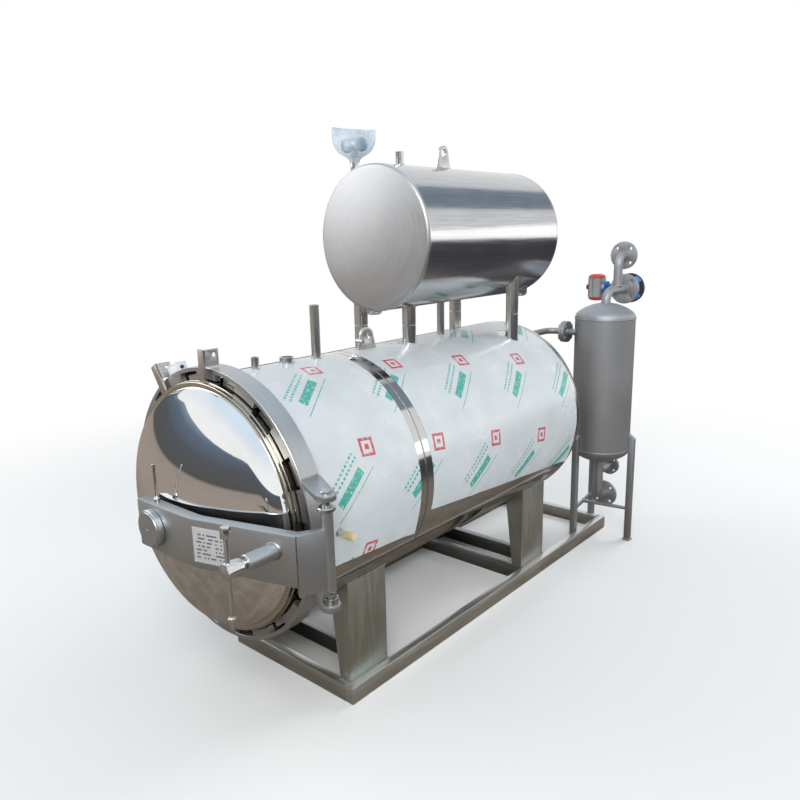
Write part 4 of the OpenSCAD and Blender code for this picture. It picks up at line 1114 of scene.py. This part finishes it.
aluminium = steel("valve_aluminium", (0.5, 0.51, 0.52), (0.66, 0.67, 0.68), (0.38, 0.52), 300, (1, 1, 1), 0.1)
low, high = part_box("tank_lifting_lug")
lug_y, tank_top = (low.y + high.y) / 2, tank_z + tank_r
bm, welds = bmesh.new(), bmesh.new()
lug(bm, 0.096, 0.104, lug_t, 0.034, shift(0, lug_y, tank_top - lug_sunk))
for x in (-lug_t / 2, lug_t / 2):
    bead(welds, [(x, lug_y - 0.046, tank_top), (x, lug_y + 0.046, tank_top)], 0.0032)
dress("tank_lifting_lug", bm, lug_steel)
low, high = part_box("tank_vent_stub")
_, y, r = place_of(low, high)
bm = bmesh.new()
stub(bm, welds, 0, y, r, 0.003, high.z, tank_z, tank_r)
dress("tank_vent_stub", bm, pipe_steel)
body_low, body_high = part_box("tank_valve_actuator")
low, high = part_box("tank_valve_riser")
riser_x, riser_y, _ = place_of(body_low, body_high)
riser_r, nip_r, nip_l = 0.017, 0.011, 0.052
at_nip = facing((riser_x, riser_y, high.z - 0.054), (sin(radians(35)), -cos(radians(35)), 0))
bm = bmesh.new()
stub(bm, welds, riser_x, riser_y, riser_r, 0.003, high.z, tank_z, tank_r)
turn(bm, [(0, 0), (nip_r, 0), (nip_r, nip_l - 0.012), (nip_r - 0.001, nip_l - 0.011), (nip_r, nip_l - 0.01),
          (nip_r, nip_l - 0.001), (nip_r - 0.001, nip_l), (nip_r - 0.003, nip_l), (nip_r - 0.003, nip_l - 0.02),
          (0, nip_l - 0.02)], at_nip, 32)
dress("tank_valve_riser", bm, pipe_steel)
weld("tank_top_welds", welds)
body_r, body_z, foot = (body_high.y - body_low.y) / 2, body_low.z + 0.046, body_low.z
left, right, waist_r = body_low.x, body_high.x, body_r - 0.002
at_riser, sidelong = shift(riser_x, riser_y, 0), shift(0, riser_y, body_z) @ spin(90, "Y")
bm = bmesh.new()
turn(bm, [(0, left), (body_r, left), (body_r, left + 0.006), (waist_r, left + 0.008), (waist_r, right - 0.008),
          (body_r, right - 0.006), (body_r, right), (0, right)], sidelong, 48)
turn(bm, rod(0.015, foot, foot + 0.024), at_riser, 32)
hexagon(bm, 0.009, body_z + 0.02, body_high.z, 0.0015, at_riser)
dress("tank_valve_actuator", bm, aluminium)
bm = bmesh.new()
for low, high in lumps("tank_actuator_caps"):
    cap_r = (high.y - low.y) / 2
    inside, outside = (high.x, low.x) if high.x < riser_x else (low.x, high.x)
    step = 0.004 if outside > inside else -0.004
    turn(bm, [(0, inside), (cap_r, inside), (cap_r, outside - 2 * step), (cap_r - 0.002, outside - step),
              (cap_r - 0.006, outside), (0, outside)], sidelong, 44)
dress("tank_actuator_caps", bm, blue_plastic)

# Clear bag: a plain polythene bag pulled over the valve for transport and gathered round the riser.
# It is a flat bag with a sealed top edge, so two corners stand out, and it is creased toward its neck.
low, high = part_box("valve_bag")
neck = Vector((riser_x, riser_y, low.z))
wide, deep = Vector((0.72, 0.694, 0)), Vector((-0.694, 0.72, 0))
sections = [(0.0, 0.0205, 0.0205), (0.006, 0.021, 0.021), (0.013, 0.0235, 0.0225), (0.021, 0.032, 0.029),
            (0.03, 0.048, 0.042), (0.04, 0.065, 0.055), (0.052, 0.0765, 0.0625), (0.066, 0.0845, 0.0645),
            (0.08, 0.0885, 0.063), (0.094, 0.0905, 0.057), (0.106, 0.0915, 0.0455), (0.116, 0.092, 0.031),
            (0.124, 0.0922, 0.0165), (0.13, 0.0915, 0.006), (0.134, 0.091, 0.0022)]
sides, bag_h, bag_half, gathered_h = 96, sections[-1][0], 0.09, 0.07
bm = bmesh.new()
rings = []
for up, a, b in sections:
    ring = []
    gather, full = max(0.0, 1 - up / gathered_h), min(1, up / 0.03) * min(1, b / 0.03)
    for t in (tau * k / sides for k in range(sides)):
        fold = 1 + 0.055 * gather * sin(13 * t + 3 * noise.noise((cos(t), sin(t), up * 20)))
        slack = 0.0035 * full * noise.noise((2.2 * cos(t) + 7, 2.2 * sin(t), up * 30))
        across, inward_by = a * fold * cos(t), b * fold * sin(t)
        aside, rise = across / bag_half, up / bag_h
        slope_up = -0.0065 * aside * rise ** 2 + 0.004 * abs(aside) ** 3 * rise ** 3
        spot = neck + wide * across + deep * inward_by + Vector((0, 0, up + slope_up))
        ring.append(bm.verts.new(spot + (wide * cos(t) + deep * sin(t)) * slack))
    rings.append(ring)
skin(bm, zip(rings, rings[1:]))
top = rings[-1]
for k in range(sides // 2):
    corners = (top[k], top[k + 1], top[sides - k - 1], top[(sides - k) % sides])
    bm.faces.new(tuple(dict.fromkeys(corners)))
bmesh.ops.recalc_face_normals(bm, faces=bm.faces[:])
bag_area = sum(f.calc_area() for f in bm.faces)
bmesh.ops.solidify(bm, geom=bm.faces[:], thickness=0.0003)
place, shade = start("clear_bag")
crinkle = place.noise(26, 2, 0.45, (1, 1, 0.5))
cloudy = place.noise(11, 2, 0.5)
bag_finish = shade(Base_Color=cloudy.ease(0.35, 0.7).blend((0.52, 0.65, 0.76), (0.78, 0.86, 0.92)),
                   Roughness=0.16 + 0.2 * cloudy, Alpha=0.24 + 0.2 * crinkle.ease(0.4, 0.7),
                   Specular_IOR_Level=0.4, Normal=bump(crinkle, 0.25, 0.004))
bag = dress("valve_bag", bm, bag_finish, crease=50)

# Separator: an upright stainless drum with dished ends, bead-blasted all over, with a weld ridge at both seams.
# It stands on three square posts with foot plates, tied low down by a T of square bar.
blasted = steel("blasted_steel", (0.4, 0.408, 0.42), (0.48, 0.488, 0.5), (0.5, 0.64), 900, (1, 1, 1), 0.12, 3.0)
blasted_weld = tinted(blasted, "blasted_weld", (0.34, 0.32, 0.3), 25, 0.5)
sep_low, sep_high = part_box("separator_shell")
sep_x, sep_y, sep_r = place_of(sep_low, sep_high)
sep_t, sep_knuckle = 0.004, 0.044
sep_at, at_sep = Vector((sep_x, sep_y, 0)), shift(sep_x, sep_y, 0)
dress("separator_shell", turned(drum(sep_r, sep_t, sep_low.z, sep_high.z), at_sep, 112), blasted)
for node, sign in (("separator_bottom_head", -1), ("separator_top_head", 1)):
    low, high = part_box(node)
    rim = high.z if sign < 0 else low.z
    sep_deep = high.z - low.z
    end = turned(dished(sep_r, sep_t, sep_knuckle, sep_deep, rim, sign), at_sep, 112)
    dress(node, end, blasted)
welds, stand = bmesh.new(), bmesh.new()
for z in (sep_low.z, sep_high.z):
    hoop(welds, shift(sep_x, sep_y, z), sep_r, 120, 0.0034)
post_w, foot_plate, foot_t, cut = 0.032, 0.044, 0.006, tan(radians(37))
brace_z, brace_w, post_top = 0.186, 0.016, sep_low.z + 0.09
ways = [Vector((cos(radians(a)), sin(radians(a)), 0)) for a in (10, 127, 248)]
posts = [sep_at + (sep_r + post_w / 2) * away for away in ways]
square = [Vector((x, y, 0)) for x, y in ((-1, -1), (1, -1), (1, 1), (-1, 1))]
for spot, away in zip(posts, ways):
    part = bmesh.new()
    bmesh.ops.create_cube(part, size=1)
    for v in part.verts:
        flat = Vector((v.co.x * post_w, v.co.y * post_w, 0))
        end = min(post_top, post_top - 0.012 - cut * flat.dot(away))
        v.co = spot + flat + Vector((0, 0, end if v.co.z > 0 else 0.001))
    soften(part, 0.003)
    add(stand, part)
    half = square[2] * foot_plate / 2
    block(stand, spot - half, spot + half + Vector((0, 0, foot_t)), 0.0015)
    sideways = Vector((-away.y, away.x, 0))
    for s in (-1, 1):
        line = sep_at + away * (sep_r - 0.001) + sideways * s * post_w * 0.55
        bead(welds, [line + Vector((0, 0, z)) for z in (sep_low.z + 0.008, post_top - 0.006)], 0.003)
    bead(welds, [spot + c * post_w / 2 + Vector((0, 0, foot_t)) for c in square], 0.0022, True)
tie = posts[1].lerp(posts[2], 0.5)
for a, b in ((posts[1], posts[2]), (tie, posts[0])):
    way = (b - a).normalized()
    along = shift(a.x, a.y, brace_z) @ Matrix.Rotation(atan2(way.y, way.x), 4, "Z")
    thick = brace_w / 2
    block(stand, (0.006, -thick, -thick), ((b - a).length - 0.012, thick, thick), 0.0015, along)
dress("separator_stand", stand, blasted)
piece("separator_welds", welds, blasted_weld)


# Pipework: bent stainless pipe with loose drilled flanges, bead-blasted like the separator.
# The outlet leaves the top, the link pipe joins the vessel's rear head, and the drain leaves the bottom.
def tube(bm, points, r, bore, sides=28):
    """A hollow pipe along points, bent at each of them and open at both ends."""
    part = bmesh.new()
    rings = rings_along(part, route(points, bend_r, 10), lambda i: (r, bore), sides)
    skin(part, [pair for a, b in zip(rings, rings[1:]) for pair in zip(a, b)] + [rings[0], rings[-1]])
    add(bm, part)


def circle(r, count, x=0.0, y=0.0):
    return arc(x, y, r, 0, 360 - 360 / count, count - 1)


def four(r):
    """Four places on a bolt circle, set at 45 degrees."""
    return [(r * cos(t), r * sin(t)) for t in (radians(45 + 90 * i) for i in range(4))]


def flange(bm, where, kind, t, bore):
    """A drilled round flange of a kind: its radius, its bolt circle's radius and its holes' radius."""
    r, bolts_r, hole_r = kind
    loops = [circle(r, 64)] + ([circle(bore, 32)] if bore else [])
    plate(bm, loops + [circle(hole_r, 20, *spot) for spot in four(bolts_r)], 0, t, 0.0012, where)


pipe_r, bend_r, flange_t = 0.024, 0.057, 0.016
bore, bead_r = pipe_r - 0.003, pipe_r + 0.001
large, small, slight = (0.0825, 0.0625, 0.009), (0.075, 0.055, 0.009), (0.0575, 0.0425, 0.007)
back_way, rightward = spin(-90, "X"), spin(90, "Y")
crown, bottom = sep_high.z + sep_deep, sep_low.z - sep_deep
valve_low, valve_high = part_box("butterfly_valve")
valve_face, valve_back = valve_low.y - 0.0002, valve_high.y + 0.0002
outlet_z, branch_y = crown + 0.058, sep_y + 0.139
branch_end, branch_z = branch_y + bend_r + flange_t, outlet_z + 0.185
drain_end, drain_z = sep_y + 0.088, 0.225
low_end, low_z = sep_y + 0.143, 0.386
outlet, drain, welds = bmesh.new(), bmesh.new(), bmesh.new()
for bm, *spots in ((outlet, (sep_y, crown - 0.004), (sep_y, outlet_z), (valve_face - 0.001, outlet_z)),
                   (outlet, (branch_y, outlet_z + 0.018), (branch_y, branch_z), (branch_end - 0.001, branch_z)),
                   (drain, (sep_y, bottom + 0.004), (sep_y, drain_z), (drain_end - 0.001, drain_z)),
                   (drain, (sep_y + 0.018, low_z), (low_end - 0.001, low_z))):
    tube(bm, [(sep_x, y, z) for y, z in spots], pipe_r, bore)
for y, z in ((branch_y, outlet_z + 0.023), (sep_y, crown - 0.001), (sep_y, bottom + 0.001)):
    hoop(welds, shift(sep_x, y, z), bead_r, 30, 0.003)
for bm, y, z, kind in ((outlet, valve_face, outlet_z, large), (outlet, branch_end, branch_z, small),
                       (drain, drain_end, drain_z, small), (drain, low_end, low_z, slight)):
    flange(bm, shift(sep_x, y - flange_t, z) @ back_way, kind, flange_t, bore)
    hoop(welds, shift(sep_x, y - flange_t, z) @ upright, bead_r, 30, 0.003)
dress("separator_outlet", outlet, blasted)
link_r, link_bore = 0.017, 0.014
link_z, link_x, link_y, link_face = axis_z + 0.372, 0.07, sep_y - 0.102, 0.158
reach = hypot(link_x, link_z - axis_z)
head_line = [(r, shell_end + h) for r, h in dish(shell_r, head_knuckle, head_depth)]
(r1, y1), (r2, y2) = next((a, b) for a, b in zip(head_line, head_line[1:]) if b[0] <= reach)
link_start = y1 + (y2 - y1) * (r1 - reach) / (r1 - r2)
wall_x = sep_x - sqrt(sep_r ** 2 - (sep_y - link_y) ** 2)
bm = bmesh.new()
tube(bm, [(link_x, link_start - 0.012, link_z), (link_x, link_y, link_z), (wall_x + 0.008, link_y, link_z)],
     link_r, link_bore)
for x in (link_face, link_face + flange_t):
    flange(bm, shift(x + 0.0003, link_y, link_z) @ rightward, slight, flange_t - 0.0006, 0)
for x in (link_face, link_face + 2 * flange_t):
    hoop(welds, shift(x, link_y, link_z) @ crosswise, link_r + 0.001, 24, 0.0026)
dress("link_pipe", bm, blasted)
dress("separator_drain", drain, blasted)
piece("pipe_welds", welds, blasted_weld)


# Bolts: zinc-bright hexagon bolts with nuts; four long ones tie the valve between its flanges,
# and four shorter ones hold the link pipe's pair.
def tie_bolt(bm, spot, way, length, shank, head, head_h):
    """A bolt along a way, with a hexagon head, a nut and a bevelled end past it."""
    where = facing(spot, way, 30)
    turn(bm, [(0, head_h), (shank, head_h), (shank, length - 0.004), (shank - 0.002, length - 0.0015),
              (0, length - 0.001)], where, 24)
    hexagon(bm, head, 0, head_h, 0.0012, where)
    hexagon(bm, head, length - head_h - 0.002, length - 0.002, 0.0012, where)


bolt_steel = steel("bolt_steel", (0.36, 0.36, 0.35), (0.58, 0.58, 0.56), (0.26, 0.4), 350, (1, 1, 1), 0.1)
low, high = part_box("valve_bolts")
bm = bmesh.new()
for a, b in four(large[1]):
    tie_bolt(bm, (sep_x + a, low.y, outlet_z + b), (0, 1, 0), high.y - low.y, 0.008, 0.014, 0.0098)
dress("valve_bolts", bm, bolt_steel)
low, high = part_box("link_bolts")
bm = bmesh.new()
for a, b in four(slight[1]):
    tie_bolt(bm, (low.x, link_y + a, link_z + b), (1, 0, 0), high.x - low.x, 0.006, 0.011, 0.0078)
dress("link_bolts", bm, bolt_steel)

# Butterfly valve: a cast lugged ring, enamelled blue, with a neck, a block and a round mount for its drive.
# A dark painted flange closes its outer face, with an open bore.
valve_blue = plastic("valve_blue", (0.01, 0.13, 0.44), (0.018, 0.2, 0.6), 0.26, 0.14)
valve_mid, valve_t = (valve_face + valve_back) / 2, valve_high.y - valve_low.y
body_r, lug_r, hole_r = 0.0605, 0.08, 0.009
outline = []
for t in (tau * k / 120 for k in range(120)):
    ease = max(0.0, min(1.0, (cos(4 * (t - pi / 4)) + 0.05) / 0.75))
    r = body_r + (lug_r - body_r) * ease * ease * (3 - 2 * ease)
    outline.append((r * cos(t), r * sin(t)))
holes = [circle(hole_r, 20, *spot) for spot in four(large[1])]
at_valve = shift(sep_x, valve_low.y, outlet_z) @ back_way
leftward = shift(sep_x, valve_mid, outlet_z) @ spin(-90, "Y")
neck_l, neck_r, mount_r = sep_x - valve_low.x, 0.017, 0.0365
bm = bmesh.new()
plate(bm, [outline] + holes + [circle(bore, 32)], 0, valve_t, 0.002, at_valve)
turn(bm, rod(bore + 0.001, 0.02, 0.026), at_valve, 32)
turn(bm, [(0, 0.05), (neck_r + 0.006, 0.05), (neck_r + 0.004, 0.068), (neck_r, 0.074), (neck_r, neck_l - 0.012),
          (mount_r - 0.001, neck_l - 0.012), (mount_r, neck_l - 0.011), (mount_r, neck_l - 0.001),
          (mount_r - 0.001, neck_l), (0, neck_l)], leftward, 44)
block(bm, (-0.02, -0.02, neck_l - 0.042), (0.02, 0.02, neck_l - 0.006), 0.003, leftward)
dress("butterfly_valve", bm, valve_blue)
low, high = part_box("valve_end_flange")
bm = bmesh.new()
flange(bm, shift(sep_x, low.y, outlet_z) @ back_way, large, high.y - low.y, bore)
dark_paint = plastic("dark_paint", (0.022, 0.022, 0.023), (0.045, 0.045, 0.047), 0.38, 0.2)
dress("valve_end_flange", bm, dark_paint)

# Valve drive: an upright extruded body with grooves down its sides and domed orange-red end caps,
# each held by four small screws, and a black position knob on its outer side.
low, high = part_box("valve_actuator")
drive_w, drive_h, corner_r = 0.086, high.z - low.z, 0.0499
drive_at = Vector((sep_x - neck_l - 0.056, valve_mid, outlet_z))
half, groove, groove_w = drive_w / 2, 0.003, 0.009
flat = sqrt(corner_r ** 2 - half ** 2)
bend = degrees(atan2(flat, half))
groove_line = [(half, -groove_w), (half - groove, -groove_w), (half - groove, groove_w), (half, groove_w)]
outline = []
for side in range(4):
    edge = [(half, -flat)] + (groove_line if side else []) + arc(0, 0, corner_r, bend, 90 - bend, 5)[:-1]
    c, s = cos(pi / 2 * side), sin(pi / 2 * side)
    outline += [(x * c - y * s, x * s + y * c) for x, y in edge]
bm = bmesh.new()
plate(bm, [outline], -drive_h / 2, drive_h / 2, 0.0, shift(*drive_at))
turn(bm, rod(0.03, 0, high.x - drive_at.x, 0, 0.001), shift(*drive_at) @ rightward, 44)
drive_grey = steel("drive_grey", (0.44, 0.45, 0.465), (0.56, 0.57, 0.585), (0.42, 0.56), 200, (1, 1, 0.06), 0.1)
dress("valve_actuator", bm, drive_grey)
cap_red = plastic("cap_red", (0.5, 0.045, 0.026), (0.64, 0.08, 0.045), 0.34, 0.12)
cap_line = [(0, 0), (0.0462, 0), (0.0473, 0.001), (0.0473, 0.008), (0.0462, 0.0105), (0.043, 0.0135),
            (0.0375, 0.0172), (0.031, 0.02), (0.02, 0.0214), (0, 0.022)]
screw_line = [(0.0035, 0.008), (0.0035, 0.0142), (0.0028, 0.0152), (0.0017, 0.0152), (0.0016, 0.0135), (0, 0.0135)]
caps, screws = bmesh.new(), bmesh.new()
for sign in (-1, 1):
    where = shift(0, 0, sign * (drive_h / 2 + 0.0002)) @ shift(*drive_at) @ spin(0 if sign > 0 else 180, "X")
    turn(caps, cap_line, where, 56)
    for x, y in four(0.0415):
        turn(screws, screw_line, where @ shift(x, y, 0), 16)
dress("valve_actuator_caps", caps, cap_red)
piece("drive_cap_screws", screws, bolt_steel)
low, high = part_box("actuator_knob")
at_knob = shift(high.x, drive_at.y, drive_at.z) @ spin(-90, "Y")
knob_l, grip_r = high.x - low.x, (high.y - low.y) / 2
bm = bmesh.new()
turn(bm, rod(0.0085, -0.002, 0.009), at_knob, 28)
plate(bm, [knurled(grip_r, 0.0011, 48)], 0.008, knob_l - 0.002, 0.0, at_knob)
turn(bm, [(grip_r - 0.0012, knob_l - 0.003), (grip_r - 0.0016, knob_l - 0.001), (grip_r - 0.003, knob_l),
          (0.004, knob_l), (0.003, knob_l - 0.001), (0, knob_l - 0.001)], at_knob, 40)
dress("actuator_knob", bm, plastic("knob_black", (0.012, 0.012, 0.013), (0.03, 0.03, 0.031)))
